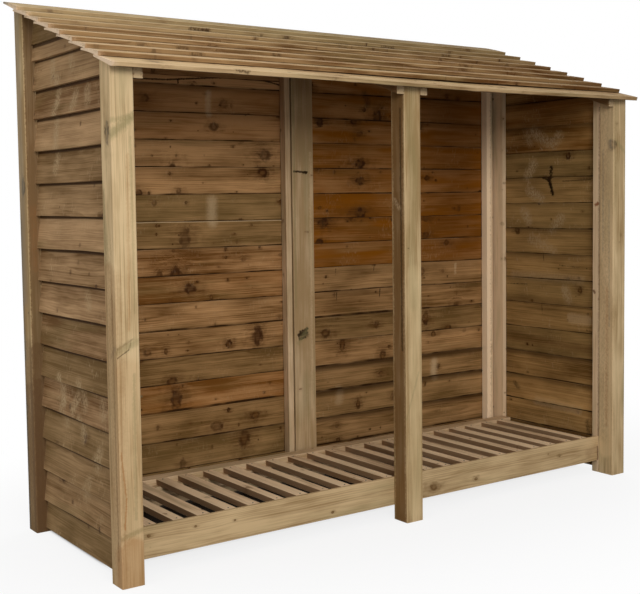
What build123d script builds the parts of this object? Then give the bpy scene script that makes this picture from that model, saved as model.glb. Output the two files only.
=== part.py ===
from build123d import *
from math import cos, radians, tan
import os

os.makedirs("parts", exist_ok=True)

# Overall sizes. X runs along the open front, Y from front to back, Z up.
frame_width = 2200.0
frame_depth = 750.0
eave_underside = 1505.0
roof_pitch = 19.1
roof_side_overhang = 19.0
roof_front_overhang = 42.0
roof_back_overhang = 56.0
roof_sheet = 14.0

# Timber sections.
post = 72.0
post_arris = 4.0
wall_sheet = 24.0
wall_inset = 28.0
side_front_batten = 32.0
side_back_batten = 66.0
back_batten_depth = 35.0
back_batten = 34.0
middle_batten = 24.0
middle_board = 98.0
middle_gap = 7.0
rafter_thick = 30.0
rafter_drop = 38.0
top_rail = 34.0

# Floor.
floor_top = 147.0
beam_height = 98.0
beam_thick = 14.0
slat_width = 40.0
slat_thick = 21.0
slats_per_bay = 11
slat_edge_gap = 46.0
front_bearer_width = 45.0
front_bearer_height = 49.0
rear_bearer_width = 55.0
rear_bearer_setback = 56.0
ledger = 35.0

# Clearances.
wall_foot = 14.0
panel_gap = 4.0
batten_end_gap = 12.0

# Derived lines across the width.
outer_x = frame_width / 2
post_in_x = outer_x - post
wall_out_x = outer_x - wall_inset
wall_in_x = wall_out_x - wall_sheet
side_batten_thick = wall_in_x - post_in_x
roof_x = outer_x + roof_side_overhang

# Derived lines from front to back, with the origin midway along the roof.
roof_depth = roof_front_overhang + frame_depth + roof_back_overhang
front_y = -roof_depth / 2 + roof_front_overhang
back_y = front_y + frame_depth
front_post_back_y = front_y + post
back_post_front_y = back_y - post
back_wall_out_y = back_y - wall_inset
back_wall_in_y = back_wall_out_y - wall_sheet
back_batten_front_y = back_wall_in_y - back_batten_depth
rear_bearer_back_y = back_post_front_y - rear_bearer_setback
rear_bearer_front_y = rear_bearer_back_y - rear_bearer_width
slat_front_y = front_post_back_y + beam_thick

slope = tan(radians(roof_pitch))
roof_rise = roof_sheet / cos(radians(roof_pitch))
slat_underside = floor_top - slat_thick
slat_run = post_in_x - slat_edge_gap - slat_width / 2
slat_pitch = 2 * slat_run / (2 * slats_per_bay - 1)
beam_foot = floor_top - beam_height


def underside(y):
    return eave_underside + (y - front_y) * slope


def upright(x, width, y_front, y_back, foot):
    with BuildSketch(Plane.YZ.offset(x)) as profile:
        with BuildLine():
            Polyline(
                (y_front, foot),
                (y_back, foot),
                (y_back, underside(y_back)),
                (y_front, underside(y_front)),
                close=True,
            )
        make_face()
    extrude(profile.sketch, amount=width)


def block(x_from, x_to, y_from, y_to, z_from, z_to):
    with BuildSketch(Plane.XY.offset(z_from)) as plan:
        with Locations(((x_from + x_to) / 2, (y_from + y_to) / 2)):
            Rectangle(x_to - x_from, y_to - y_from)
    extrude(plan.sketch, amount=z_to - z_from)


def save(built, label):
    built.part.label = label
    export_step(built.part, f"parts/{label}.step")


# Posts.
with BuildPart() as front_left_post:
    upright(-outer_x, post, front_y, front_post_back_y, 0.0)
    fillet(front_left_post.edges().filter_by(Axis.Z), post_arris)
save(front_left_post, "front_left_post")

with BuildPart() as front_middle_post:
    upright(-post / 2, post, front_y, front_post_back_y, 0.0)
    fillet(front_middle_post.edges().filter_by(Axis.Z), post_arris)
save(front_middle_post, "front_middle_post")

with BuildPart() as front_right_post:
    upright(post_in_x, post, front_y, front_post_back_y, 0.0)
    fillet(front_right_post.edges().filter_by(Axis.Z), post_arris)
save(front_right_post, "front_right_post")

with BuildPart() as back_left_post:
    upright(-outer_x, post, back_post_front_y, back_y, 0.0)
    fillet(back_left_post.edges().filter_by(Axis.Z), post_arris)
save(back_left_post, "back_left_post")

with BuildPart() as back_right_post:
    upright(post_in_x, post, back_post_front_y, back_y, 0.0)
    fillet(back_right_post.edges().filter_by(Axis.Z), post_arris)
save(back_right_post, "back_right_post")

# Side panels between the posts.
with BuildPart() as left_wall_boards:
    upright(-wall_out_x, wall_sheet, front_post_back_y, back_post_front_y, wall_foot)
save(left_wall_boards, "left_wall_boards")

with BuildPart() as right_wall_boards:
    upright(wall_in_x, wall_sheet, front_post_back_y, back_post_front_y, wall_foot)
save(right_wall_boards, "right_wall_boards")

with BuildPart() as left_wall_front_batten:
    upright(
        -wall_in_x,
        side_batten_thick,
        front_post_back_y,
        front_post_back_y + side_front_batten,
        0.0,
    )
save(left_wall_front_batten, "left_wall_front_batten")

with BuildPart() as left_wall_back_batten:
    upright(
        -wall_in_x,
        side_batten_thick,
        back_post_front_y - side_back_batten,
        back_post_front_y,
        0.0,
    )
save(left_wall_back_batten, "left_wall_back_batten")

with BuildPart() as right_wall_front_batten:
    upright(
        post_in_x,
        side_batten_thick,
        front_post_back_y,
        front_post_back_y + side_front_batten,
        0.0,
    )
save(right_wall_front_batten, "right_wall_front_batten")

with BuildPart() as right_wall_back_batten:
    upright(
        post_in_x,
        side_batten_thick,
        back_post_front_y - side_back_batten,
        back_post_front_y,
        0.0,
    )
save(right_wall_back_batten, "right_wall_back_batten")

# Back wall: two boarded panels on battens under a top rail that carries the rafters.
with BuildPart() as back_wall_left_boards:
    upright(
        -post_in_x,
        post_in_x - panel_gap / 2,
        back_wall_in_y,
        back_wall_out_y,
        wall_foot,
    )
save(back_wall_left_boards, "back_wall_left_boards")

with BuildPart() as back_wall_right_boards:
    upright(
        panel_gap / 2,
        post_in_x - panel_gap / 2,
        back_wall_in_y,
        back_wall_out_y,
        wall_foot,
    )
save(back_wall_right_boards, "back_wall_right_boards")

rail_top = underside(back_batten_front_y) - rafter_drop
rail_foot = rail_top - top_rail
back_batten_out_x = post_in_x - batten_end_gap

with BuildPart() as back_top_rail:
    block(
        -back_batten_out_x,
        back_batten_out_x,
        back_batten_front_y,
        back_wall_in_y,
        rail_foot,
        rail_top,
    )
save(back_top_rail, "back_top_rail")

with BuildPart() as back_left_batten:
    block(
        -back_batten_out_x,
        -back_batten_out_x + back_batten,
        back_batten_front_y,
        back_wall_in_y,
        wall_foot,
        rail_foot,
    )
save(back_left_batten, "back_left_batten")

with BuildPart() as back_right_batten:
    block(
        back_batten_out_x - back_batten,
        back_batten_out_x,
        back_batten_front_y,
        back_wall_in_y,
        wall_foot,
        rail_foot,
    )
save(back_right_batten, "back_right_batten")

with BuildPart() as back_middle_board:
    block(
        -middle_board / 2,
        middle_board / 2,
        back_batten_front_y,
        back_wall_in_y,
        wall_foot,
        rail_foot,
    )
save(back_middle_board, "back_middle_board")

middle_batten_x = -middle_board / 2 - middle_gap

with BuildPart() as back_middle_batten:
    block(
        middle_batten_x - middle_batten,
        middle_batten_x,
        back_batten_front_y,
        back_wall_in_y,
        wall_foot,
        rail_foot,
    )
save(back_middle_batten, "back_middle_batten")


# Rafters, one against each end post and one on either side of the middle post.
def rafter(x):
    low = underside(front_y) - rafter_drop
    high = underside(back_wall_in_y) - rafter_drop
    with BuildSketch(Plane.YZ.offset(x)) as profile:
        with BuildLine():
            Polyline(
                (front_y, low),
                (back_wall_in_y, high),
                (back_wall_in_y, high + rafter_drop),
                (front_y, low + rafter_drop),
                close=True,
            )
        make_face()
    extrude(profile.sketch, amount=rafter_thick)


with BuildPart() as left_rafter:
    rafter(-post_in_x)
save(left_rafter, "left_rafter")

with BuildPart() as middle_left_rafter:
    rafter(-post / 2 - rafter_thick)
save(middle_left_rafter, "middle_left_rafter")

with BuildPart() as middle_right_rafter:
    rafter(post / 2)
save(middle_right_rafter, "middle_right_rafter")

with BuildPart() as right_rafter:
    rafter(post_in_x - rafter_thick)
save(right_rafter, "right_rafter")

# Roof as one sloping sheet; the lapped boards lie within it.
roof_front_y = -roof_depth / 2
roof_back_y = roof_depth / 2

with BuildPart() as roof_boards:
    with BuildSketch(Plane.YZ.offset(-roof_x)):
        with BuildLine():
            Polyline(
                (roof_front_y, underside(roof_front_y)),
                (roof_back_y, underside(roof_back_y)),
                (roof_back_y, underside(roof_back_y) + roof_rise),
                (roof_front_y, underside(roof_front_y) + roof_rise),
                close=True,
            )
        make_face()
    extrude(amount=2 * roof_x)
save(roof_boards, "roof_boards")

# Floor: a front beam, hidden bearers and slats running front to back.
with BuildPart() as front_floor_beam:
    block(-post_in_x, post_in_x, front_post_back_y, slat_front_y, beam_foot, floor_top)
save(front_floor_beam, "front_floor_beam")

with BuildPart() as front_floor_bearer:
    block(
        -post_in_x,
        post_in_x,
        slat_front_y,
        slat_front_y + front_bearer_width,
        slat_underside - front_bearer_height,
        slat_underside,
    )
save(front_floor_bearer, "front_floor_bearer")

with BuildPart() as rear_floor_bearer:
    block(
        -post_in_x,
        post_in_x,
        rear_bearer_front_y,
        rear_bearer_back_y,
        beam_foot,
        floor_top,
    )
save(rear_floor_bearer, "rear_floor_bearer")

with BuildPart() as rear_floor_ledger:
    block(
        -post_in_x,
        post_in_x,
        rear_bearer_front_y - ledger,
        rear_bearer_front_y,
        slat_underside - ledger,
        slat_underside,
    )
save(rear_floor_ledger, "rear_floor_ledger")


def slats(first_x):
    middle_y = (slat_front_y + rear_bearer_front_y) / 2
    with BuildSketch(Plane.XY.offset(slat_underside)) as plan:
        with Locations([(first_x + i * slat_pitch, middle_y) for i in range(slats_per_bay)]):
            Rectangle(slat_width, rear_bearer_front_y - slat_front_y)
    extrude(plan.sketch, amount=slat_thick)


with BuildPart() as left_bay_slats:
    slats(-(slats_per_bay - 0.5) * slat_pitch)
save(left_bay_slats, "left_bay_slats")

with BuildPart() as right_bay_slats:
    slats(slat_pitch / 2)
save(right_bay_slats, "right_bay_slats")
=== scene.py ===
import bmesh
import bpy
import math
import random
from mathutils import Matrix, Vector


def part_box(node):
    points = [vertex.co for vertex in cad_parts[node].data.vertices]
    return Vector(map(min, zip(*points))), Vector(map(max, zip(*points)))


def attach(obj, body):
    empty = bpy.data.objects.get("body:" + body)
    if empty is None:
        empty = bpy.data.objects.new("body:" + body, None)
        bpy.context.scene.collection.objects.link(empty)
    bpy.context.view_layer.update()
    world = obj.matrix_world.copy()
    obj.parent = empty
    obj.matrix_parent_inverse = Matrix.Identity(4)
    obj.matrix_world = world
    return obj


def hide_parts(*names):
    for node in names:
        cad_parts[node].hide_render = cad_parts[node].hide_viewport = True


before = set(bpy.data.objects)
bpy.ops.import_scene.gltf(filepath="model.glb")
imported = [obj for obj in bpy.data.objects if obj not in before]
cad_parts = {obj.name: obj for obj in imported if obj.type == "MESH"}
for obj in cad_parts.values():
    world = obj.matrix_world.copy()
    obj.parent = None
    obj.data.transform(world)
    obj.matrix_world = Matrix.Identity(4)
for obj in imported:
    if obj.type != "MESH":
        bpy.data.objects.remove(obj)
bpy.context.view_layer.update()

# Timber sizes in metres.
board_butt = 0.014
board_tip = 0.006
board_arris = 0.0009
board_lift = 0.0085
board_saw_cuts = 7
side_board_width = 0.125
back_board_width = 0.117
roof_board_width = 0.125
roof_board_count = 9
roof_board_lift = 0.0075
roof_end_slack = 0.004
slat_width = 0.040
slats_per_bay = 11
slat_nail_inset = 0.014
nail_radius = 0.0026
nail_height = 0.0012
nail_sink = 0.0002
timber_arris = 0.0018
post_arris = 0.004

# How far apart the logs of two timbers lie in the grain pattern.
log_spacing = 3.7

# The first lumber number of each kind of timber. A number sets a timber's grain and its unevenness.
post_lumber = 10
batten_lumber = 20
rail_lumber = 30
rafter_lumber = 31
beam_lumber = 36
bearer_lumber = 37
left_slat_lumber = 50
right_slat_lumber = 70
wall_lumber = 100
lumber_per_wall = 20
roof_lumber = 200
bow_draws = 1000

# The roof line, from the tops of the posts.
front_post_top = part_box("front_left_post")[1]
back_post_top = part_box("back_left_post")[1]
roof_slope = (back_post_top.z - front_post_top.z) / (back_post_top.y - front_post_top.y)
roof_angle = math.atan(roof_slope)
roof_normal = Vector((0, -math.sin(roof_angle), math.cos(roof_angle)))
up_the_roof = Vector((0, math.cos(roof_angle), math.sin(roof_angle)))


def roof_underside(y):
    return front_post_top.z + (y - front_post_top.y) * roof_slope


# Nodes. Each is made after the ones that feed it, as a material with many marks only renders in that order.
def put(tree, kind, **settings):
    """A node in a tree, with its own settings such as operation or data_type."""
    made = tree.nodes.new(kind)
    for setting, value in settings.items():
        setattr(made, setting, value)
    return made


def feed(tree, socket, value):
    """Gives a socket a number, a colour, a vector or another node's output."""
    if isinstance(value, bpy.types.NodeSocket):
        tree.links.new(value, socket)
    else:
        socket.default_value = value


def feed_all(tree, sockets, terms):
    for socket, term in zip(sockets, terms):
        feed(tree, socket, term)


def calc(tree, operation, *terms):
    """A Math node on numbers or outputs."""
    made = put(tree, "ShaderNodeMath", operation=operation)
    feed_all(tree, made.inputs, terms)
    return made.outputs[0]


def times(tree, first, second):
    return calc(tree, "MULTIPLY", first, second)


def times_plus(tree, value, factor, extra):
    return calc(tree, "MULTIPLY_ADD", value, factor, extra)


def larger(tree, first, second):
    return calc(tree, "MAXIMUM", first, second)


def off_middle(tree, value):
    """Centres a pattern on nought."""
    return calc(tree, "SUBTRACT", value, 0.5)


def clamp(tree, value):
    made = put(tree, "ShaderNodeClamp")
    feed(tree, made.inputs[0], value)
    return made.outputs[0]


def vector_calc(tree, operation, *terms):
    """A Vector Math node on vectors or outputs."""
    made = put(tree, "ShaderNodeVectorMath", operation=operation)
    feed_all(tree, made.inputs, terms)
    return made.outputs["Value" if operation in ("LENGTH", "DOT_PRODUCT") else "Vector"]


def stretch(tree, vector, along, across, through):
    """Squeezes a place in the log for a pattern: repeats per metre each way."""
    return vector_calc(tree, "MULTIPLY", vector, (along, across, through))


def split(tree, vector):
    made = put(tree, "ShaderNodeSeparateXYZ")
    feed(tree, made.inputs[0], vector)
    return made.outputs


def split_colour(tree, colour):
    made = put(tree, "ShaderNodeSeparateColor")
    feed(tree, made.inputs[0], colour)
    return made.outputs


def fade(tree, value, start, end, low=0.0, high=1.0):
    """Goes smoothly from low to high while value goes from start to end."""
    made = put(tree, "ShaderNodeMapRange", interpolation_type="SMOOTHSTEP")
    feed_all(tree, made.inputs, (value, start, end, low, high))
    return made.outputs["Result"]


def mingle(tree, share, first, second, way="MIX"):
    """A colour mix."""
    made = put(tree, "ShaderNodeMix", data_type="RGBA", blend_type=way)
    feed(tree, made.inputs["Factor"], share)
    feed(tree, made.inputs[6], first)
    feed(tree, made.inputs[7], second)
    return made.outputs[2]


def noise(tree, vector, detail=2.0, roughness=0.5, output="Fac"):
    made = put(tree, "ShaderNodeTexNoise", noise_dimensions="3D")
    feed(tree, made.inputs["Vector"], vector)
    made.inputs["Scale"].default_value = 1.0
    made.inputs["Detail"].default_value = detail
    made.inputs["Roughness"].default_value = roughness
    return made.outputs[output]


def object_place(tree):
    return put(tree, "ShaderNodeTexCoord").outputs["Object"]


def read_attribute(tree, name):
    made = put(tree, "ShaderNodeAttribute", attribute_type="GEOMETRY", attribute_name=name)
    return made.outputs["Vector"]


# Shared node groups.
def socket_type(default):
    if isinstance(default, float):
        return "NodeSocketFloat"
    return "NodeSocketVector" if len(default) == 3 else "NodeSocketColor"


def new_group(name, inputs, outputs):
    """An empty shader group. Inputs have a default each, and outputs are numbers apart from Color."""
    tree = bpy.data.node_groups.new(name, "ShaderNodeTree")
    for label, default in inputs.items():
        socket = tree.interface.new_socket(label, in_out="INPUT", socket_type=socket_type(default))
        socket.default_value = default
    for label in outputs:
        kind = "NodeSocketColor" if label == "Color" else "NodeSocketFloat"
        tree.interface.new_socket(label, in_out="OUTPUT", socket_type=kind)
    return tree, put(tree, "NodeGroupInput").outputs, put(tree, "NodeGroupOutput").inputs


def place_group(tree, group, **values):
    """Puts a shared group into a tree; an underscore stands for the space in an input's name."""
    made = put(tree, "ShaderNodeGroup")
    made.node_tree = group
    for name, value in values.items():
        feed(tree, made.inputs[name.replace("_", " ")], value)
    return made.outputs


def colour_knot(tree, result, grain, spread, long_spread, strength):
    """The brown heart, the dark ring round it and the smoky halo that follows the grain."""
    uneven = noise(tree, stretch(tree, grain, 42, 42, 42), 1.0)
    heart = fade(tree, spread, 0.55, 1.3, 1.0, 0.0)
    ring = times(tree, fade(tree, spread, 0.25, 0.75), fade(tree, spread, 0.9, 1.5, 1.0, 0.0))
    ring = times(tree, ring, fade(tree, uneven, 0.40, 0.56, 0.15, 1.0))
    smeared = times_plus(tree, off_middle(tree, uneven), 2.4, long_spread)
    halo = fade(tree, smeared, 0.5, 2.5, 1.0, 0.0)
    for name, part in (("Heart", heart), ("Rim", ring), ("Halo", halo)):
        feed(tree, result[name], times(tree, part, strength))


def grain_pull(tree, spread, near, far):
    """How strongly fibres bend round a knot, fading to nothing between near and far."""
    close = calc(tree, "DIVIDE", 1.0, times(tree, spread, spread))
    fading = fade(tree, spread, near, far, -1.0, 0.0)
    return times(tree, calc(tree, "MINIMUM", 1.0, close), fading)


def make_single_knot_group():
    """One knot at a known place: how far the grain swings round it, and its own colouring."""
    tree, given, result = new_group(
        "Single knot",
        {
            "Grain": (0, 0, 0),
            "Centre": (0, 0, 0),
            "Radius": 0.01,
            "Squash": (0.8, 1, 1),
            "Strength": 1.0,
        },
        ["Swing Across", "Swing Through", "Heart", "Rim", "Halo"],
    )
    away = vector_calc(tree, "SUBTRACT", given["Grain"], given["Centre"])
    squeezed = vector_calc(tree, "MULTIPLY", away, given["Squash"])
    ragged = off_middle(tree, noise(tree, stretch(tree, given["Grain"], 60, 60, 60)))
    raggedness = times_plus(tree, ragged, 0.8, 1.0)

    def how_far(reach):
        distance = vector_calc(tree, "LENGTH", reach)
        return times(tree, calc(tree, "DIVIDE", distance, given["Radius"]), raggedness)

    spread = how_far(squeezed)
    long_spread = how_far(stretch(tree, squeezed, 0.55, 1, 1))
    parts = split(tree, away)
    pull = grain_pull(tree, spread, 2.0, 6.0)
    feed(tree, result["Swing Across"], times(tree, parts["Y"], pull))
    feed(tree, result["Swing Through"], times(tree, parts["Z"], pull))
    colour_knot(tree, result, given["Grain"], spread, long_spread, given["Strength"])
    return tree


def make_chance_knot_group(name, dimensions):
    """Knots scattered through the timber: over a board's face (2D) or through a squared timber (3D)."""
    tree, given, result = new_group(
        name,
        {"Grain": (0, 0, 0), "Cell": (0.2, 0.06, 1), "Share": 0.5, "Size": 0.009},
        ["Swing Across", "Heart", "Rim", "Halo"],
    )
    in_cells = vector_calc(tree, "DIVIDE", given["Grain"], given["Cell"])
    cell = put(tree, "ShaderNodeTexVoronoi", voronoi_dimensions=dimensions, feature="F1")
    feed(tree, cell.inputs["Vector"], in_cells)
    cell.inputs["Scale"].default_value = 1.0
    cell.inputs["Randomness"].default_value = 0.85
    centre = vector_calc(tree, "MULTIPLY", cell.outputs["Position"], given["Cell"])
    away = vector_calc(tree, "SUBTRACT", given["Grain"], centre)
    through = 0.4 if dimensions == "3D" else 0.0
    parts = split(tree, stretch(tree, away, 0.9, 1.0, through))
    chance = split_colour(tree, cell.outputs["Color"])

    across = times(tree, parts["Y"], times_plus(tree, chance["Blue"], 0.7, 0.45))
    sideways = times_plus(tree, parts["Z"], parts["Z"], times(tree, across, across))
    present = calc(tree, "LESS_THAN", chance["Green"], given["Share"])
    grown = times(tree, given["Size"], times_plus(tree, chance["Red"], 1.1, 0.3))
    radius = calc(tree, "ADD", times(tree, grown, present), 0.0001)
    ragged = off_middle(tree, noise(tree, stretch(tree, given["Grain"], 90, 110, 110)))
    raggedness = times_plus(tree, ragged, 0.9, 1.0)

    def how_far(lengthways):
        distance = calc(tree, "SQRT", times_plus(tree, lengthways, lengthways, sideways))
        return times(tree, calc(tree, "DIVIDE", distance, radius), raggedness)

    spread = how_far(parts["X"])
    long_spread = how_far(times(tree, parts["X"], 0.55))
    pull = grain_pull(tree, spread, 1.5, 3.5)
    feed(tree, result["Swing Across"], times(tree, parts["Y"], pull))
    draw = calc(tree, "FRACT", times(tree, chance["Red"], 7.3))
    strength = times_plus(tree, draw, 0.7, 0.3)
    colour_knot(tree, result, given["Grain"], spread, long_spread, strength)
    return tree


def find_rings(tree, given):
    """The darkness of the yearly rings, and the broad bands of slow and fast years."""
    places = split(tree, given["Grain"])
    drifts = split_colour(tree, noise(tree, stretch(tree, given["Grain"], 2.2, 9, 9), 3.0, output="Color"))

    def off_pith(place, swing, chance):
        wandered = times(tree, off_middle(tree, chance), given["Wander"])
        return calc(tree, "ADD", calc(tree, "ADD", place, swing), wandered)

    across = off_pith(places["Y"], given["Swing Across"], drifts["Red"])
    through = off_pith(places["Z"], given["Swing Through"], drifts["Green"])
    squares = calc(tree, "ADD", times(tree, across, across), times(tree, through, through))
    ring = calc(tree, "DIVIDE", calc(tree, "SQRT", squares), given["Ring Width"])
    year = put(tree, "ShaderNodeTexWhiteNoise", noise_dimensions="1D")
    feed(tree, year.inputs["W"], calc(tree, "FLOOR", ring))
    turn = calc(tree, "FRACT", ring)
    latewood = calc(tree, "SUBTRACT", fade(tree, turn, 0.2, 0.85), fade(tree, turn, 0.88, 1.0))
    good_year = times_plus(tree, year.outputs["Value"], 0.8, 0.2)
    rings = times(tree, times(tree, latewood, good_year), given["Ring Strength"])
    broad = put(tree, "ShaderNodeTexNoise", noise_dimensions="1D")
    feed(tree, broad.inputs["W"], times(tree, ring, 0.21))
    broad.inputs["Scale"].default_value = 1.0
    broad.inputs["Detail"].default_value = 1.0
    return rings, off_middle(tree, broad.outputs["Fac"])


def make_softwood_group():
    """Growth rings, fibre streaks, stains and knots of one softwood log."""
    tree, given, result = new_group(
        "Softwood",
        {
            "Grain": (0, 0, 0),
            "Swing Across": 0.0,
            "Swing Through": 0.0,
            "Heart": 0.0,
            "Rim": 0.0,
            "Halo": 0.0,
            "Tone": 0.0,
            "Warmth": 0.0,
            "Ring Width": 0.004,
            "Wander": 0.01,
            "Ring Strength": 0.6,
            "Blotches": 1.0,
            "Contrast": 1.0,
            "Pale": (0.6, 0.5, 0.3, 1),
            "Dark": (0.3, 0.2, 0.1, 1),
            "Warm": (0.4, 0.2, 0.08, 1),
            "Stain": (0.35, 0.33, 0.2, 1),
            "Knot Colour": (0.08, 0.03, 0.012, 1),
        },
        ["Color", "Roughness", "Height"],
    )

    def along_grain(along, across, detail=2.0):
        return noise(tree, stretch(tree, given["Grain"], along, across, across), detail)

    fibres = along_grain(14, 420)
    streaks = along_grain(2.2, 75)
    threads = along_grain(4.5, 190, 1.0)
    hairlines = fade(tree, along_grain(1.5, 130, 1.0), 0.62, 0.72)
    clouds = along_grain(4.5, 14, 3.0)
    cloudy = times(tree, off_middle(tree, clouds), given["Blotches"])
    darkness, bands = find_rings(tree, given)
    for layer, strength in (
        (off_middle(tree, streaks), 0.65),
        (off_middle(tree, threads), 0.75),
        (off_middle(tree, fibres), 0.45),
        (hairlines, 0.22),
        (bands, 0.8),
        (cloudy, 1.5),
    ):
        darkness = times_plus(tree, layer, strength, darkness)
    darkness = times_plus(tree, darkness, given["Contrast"], 0.35)
    darkness = clamp(tree, calc(tree, "SUBTRACT", darkness, given["Tone"]))

    warm = larger(tree, given["Warmth"], 0.0)
    cool = larger(tree, times(tree, given["Warmth"], -1.0), 0.0)
    stained = fade(tree, along_grain(2.6, 18), 0.48, 0.75, 0.0, 0.4)
    flushed = fade(tree, along_grain(3, 22), 0.42, 0.7, 0.50, 1.0)
    dusk = times(tree, given["Halo"], fade(tree, threads, 0.38, 0.62, 0.35, 0.8))
    core = fade(tree, clouds, 0.42, 0.58, 0.0, 0.9)
    wood = given["Pale"]
    for share, tint in (
        (darkness, given["Dark"]),
        (larger(tree, stained, cool), given["Stain"]),
        (times(tree, warm, flushed), given["Warm"]),
        (dusk, mingle(tree, 0.5, given["Dark"], given["Knot Colour"])),
        (times(tree, given["Heart"], 0.78), mingle(tree, core, given["Knot Colour"], given["Dark"])),
        (times(tree, given["Rim"], 0.95), given["Knot Colour"]),
    ):
        wood = mingle(tree, share, wood, tint)
    feed(tree, result["Color"], wood)
    rough = times_plus(tree, fibres, 0.25, 0.58)
    feed(tree, result["Roughness"], times_plus(tree, given["Heart"], -0.15, rough))
    feed(tree, result["Height"], times(tree, fibres, 0.6))
    return tree


def make_saw_mark_group():
    """Marks that the band saw leaves across the grain, and patches where it lifted pale fibres."""
    tree, given, result = new_group("Saw marks", {"Grain": (0, 0, 0), "Amount": 0.5}, ["Fluff", "Height"])
    teeth = noise(tree, stretch(tree, given["Grain"], 330, 14, 14), 1.0)
    tufts = noise(tree, stretch(tree, given["Grain"], 130, 55, 55), 2.0, 0.6)
    where = noise(tree, stretch(tree, given["Grain"], 9, 9, 9))
    lifted = times(tree, fade(tree, tufts, 0.5, 0.75), fade(tree, where, 0.5, 0.7))
    feed(tree, result["Fluff"], times(tree, lifted, given["Amount"]))
    rows = times_plus(tree, lifted, 0.8, times(tree, teeth, 0.7))
    feed(tree, result["Height"], times(tree, rows, given["Amount"]))
    return tree


def make_mark_group():
    """A crack, scuff, stain or patch of painted shade or light that runs from one point of the object to
    another.
    """
    tree, given, result = new_group(
        "Mark",
        {
            "Place": (0, 0, 0),
            "Start": (0, 0, 0),
            "Finish": (0, 0, 0),
            "Half Width": 0.002,
            "Softness": 0.5,
            "Speckle": 0.0,
        },
        ["Mask"],
    )
    run = vector_calc(tree, "SUBTRACT", given["Finish"], given["Start"])
    to_place = vector_calc(tree, "SUBTRACT", given["Place"], given["Start"])
    run_square = calc(tree, "ADD", vector_calc(tree, "DOT_PRODUCT", run, run), 0.0000001)
    how_far = calc(tree, "DIVIDE", vector_calc(tree, "DOT_PRODUCT", to_place, run), run_square)
    how_far = clamp(tree, how_far)
    whole = put(tree, "ShaderNodeCombineXYZ")
    feed_all(tree, whole.inputs, [how_far] * 3)
    nearest = vector_calc(tree, "MULTIPLY", run, whole.outputs[0])
    distance = vector_calc(tree, "LENGTH", vector_calc(tree, "SUBTRACT", to_place, nearest))

    ragged = noise(tree, stretch(tree, given["Place"], 130, 130, 130), 3.0, 0.6)
    raggedness = calc(tree, "MINIMUM", 1.6, calc(tree, "DIVIDE", 0.02, given["Half Width"]))
    spread = calc(tree, "DIVIDE", distance, given["Half Width"])
    spread = times_plus(tree, off_middle(tree, ragged), raggedness, spread)
    solid = fade(tree, spread, calc(tree, "SUBTRACT", 1.0, given["Softness"]), 1.0, 1.0, 0.0)
    grit = fade(tree, noise(tree, stretch(tree, given["Place"], 150, 150, 90), 3.0, 0.7), 0.44, 0.58)
    holes = times(tree, calc(tree, "SUBTRACT", 1.0, grit), given["Speckle"])
    feed(tree, result["Mask"], times(tree, solid, calc(tree, "SUBTRACT", 1.0, holes)))
    return tree


def make_lap_group():
    """Painted shade where lapped boards are dark: in the joints, with some dirt, below each butt and below
    a curled edge; and painted highlights on lit tips.
    """
    tree, given, result = new_group(
        "Laps",
        {
            "Seam": (0, 0, 0),
            "Edge": (0, 0, 0),
            "Grain": (0, 0, 0),
            "Shade": 0.0,
            "Line": 0.0025,
            "Shadow": 0.0062,
        },
        ["Dark", "Pale", "Butt"],
    )
    seam = split(tree, given["Seam"])
    edge = split(tree, given["Edge"])
    inner = fade(tree, edge["Z"], -0.85, -0.6, 1.0, 0.0)
    outer = calc(tree, "SUBTRACT", 1.0, inner)
    uneven = noise(tree, stretch(tree, given["Grain"], 9, 4, 4))
    # The joint lines are painted shade in the gap between the boards, with some dirt.
    line = times(tree, given["Line"], times_plus(tree, uneven, 2.0, 0.1))
    above_joint = fade(tree, seam["X"], line, calc(tree, "ADD", line, 0.002), 1.0, 0.0)
    above_joint = times(tree, above_joint, fade(tree, uneven, 0.35, 0.6, 0.45, 1.0))
    # Softer darkening just above the joint: painted shade with some stain.
    stain_and_shade_near_joint = fade(tree, seam["X"], 0.0, 0.014, times(tree, uneven, 0.22), 0.0)
    # Painted shade below a curled tip, whose face turns down from the light.
    shade_below_tip = fade(tree, seam["Y"], 0.001, 0.034, given["Shade"], 0.0)
    inside = larger(tree, larger(tree, above_joint, stain_and_shade_near_joint), shade_below_tip)
    # Painted shadow under each butt, and softer painted shade under the lap.
    shadow = larger(tree, line, given["Shadow"])
    under_butt = fade(tree, seam["Z"], shadow, calc(tree, "ADD", shadow, 0.0050), 0.9, 0.0)
    shade_under_lap = fade(tree, seam["Z"], 0.0, 0.014, times(tree, uneven, 0.5), 0.0)
    outside = larger(tree, under_butt, shade_under_lap)
    dark = calc(tree, "ADD", times(tree, inside, inner), times(tree, outside, outer))
    feed(tree, result["Dark"], dark)
    # A painted highlight on a tip that catches the light, strongest where Shade is below 0.
    tip = fade(tree, seam["Y"], 0.0012, 0.0040, 1.0, 0.0)
    lit = larger(tree, fade(tree, uneven, 0.5, 0.7, 0.0, 0.2), times(tree, given["Shade"], -1.0))
    feed(tree, result["Pale"], times(tree, times(tree, tip, lit), inner))
    # Where the butt faces down, for painted shade on it.
    feed(tree, result["Butt"], fade(tree, edge["Y"], -0.988, -0.97, 1.0, 0.0))
    return tree


single_knot_group = make_single_knot_group()
board_knot_group = make_chance_knot_group("Knots over a board", "2D")
timber_knot_group = make_chance_knot_group("Knots through a timber", "3D")
softwood_group = make_softwood_group()
saw_mark_group = make_saw_mark_group()
mark_group = make_mark_group()
lap_group = make_lap_group()


# Materials.
def paint(red, green, blue):
    """A colour by its screen values, as linear light."""
    def linear(value):
        share = value / 255
        return share / 12.92 if share <= 0.04045 else ((share + 0.055) / 1.055) ** 2.4

    return (linear(red), linear(green), linear(blue), 1.0)
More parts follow.
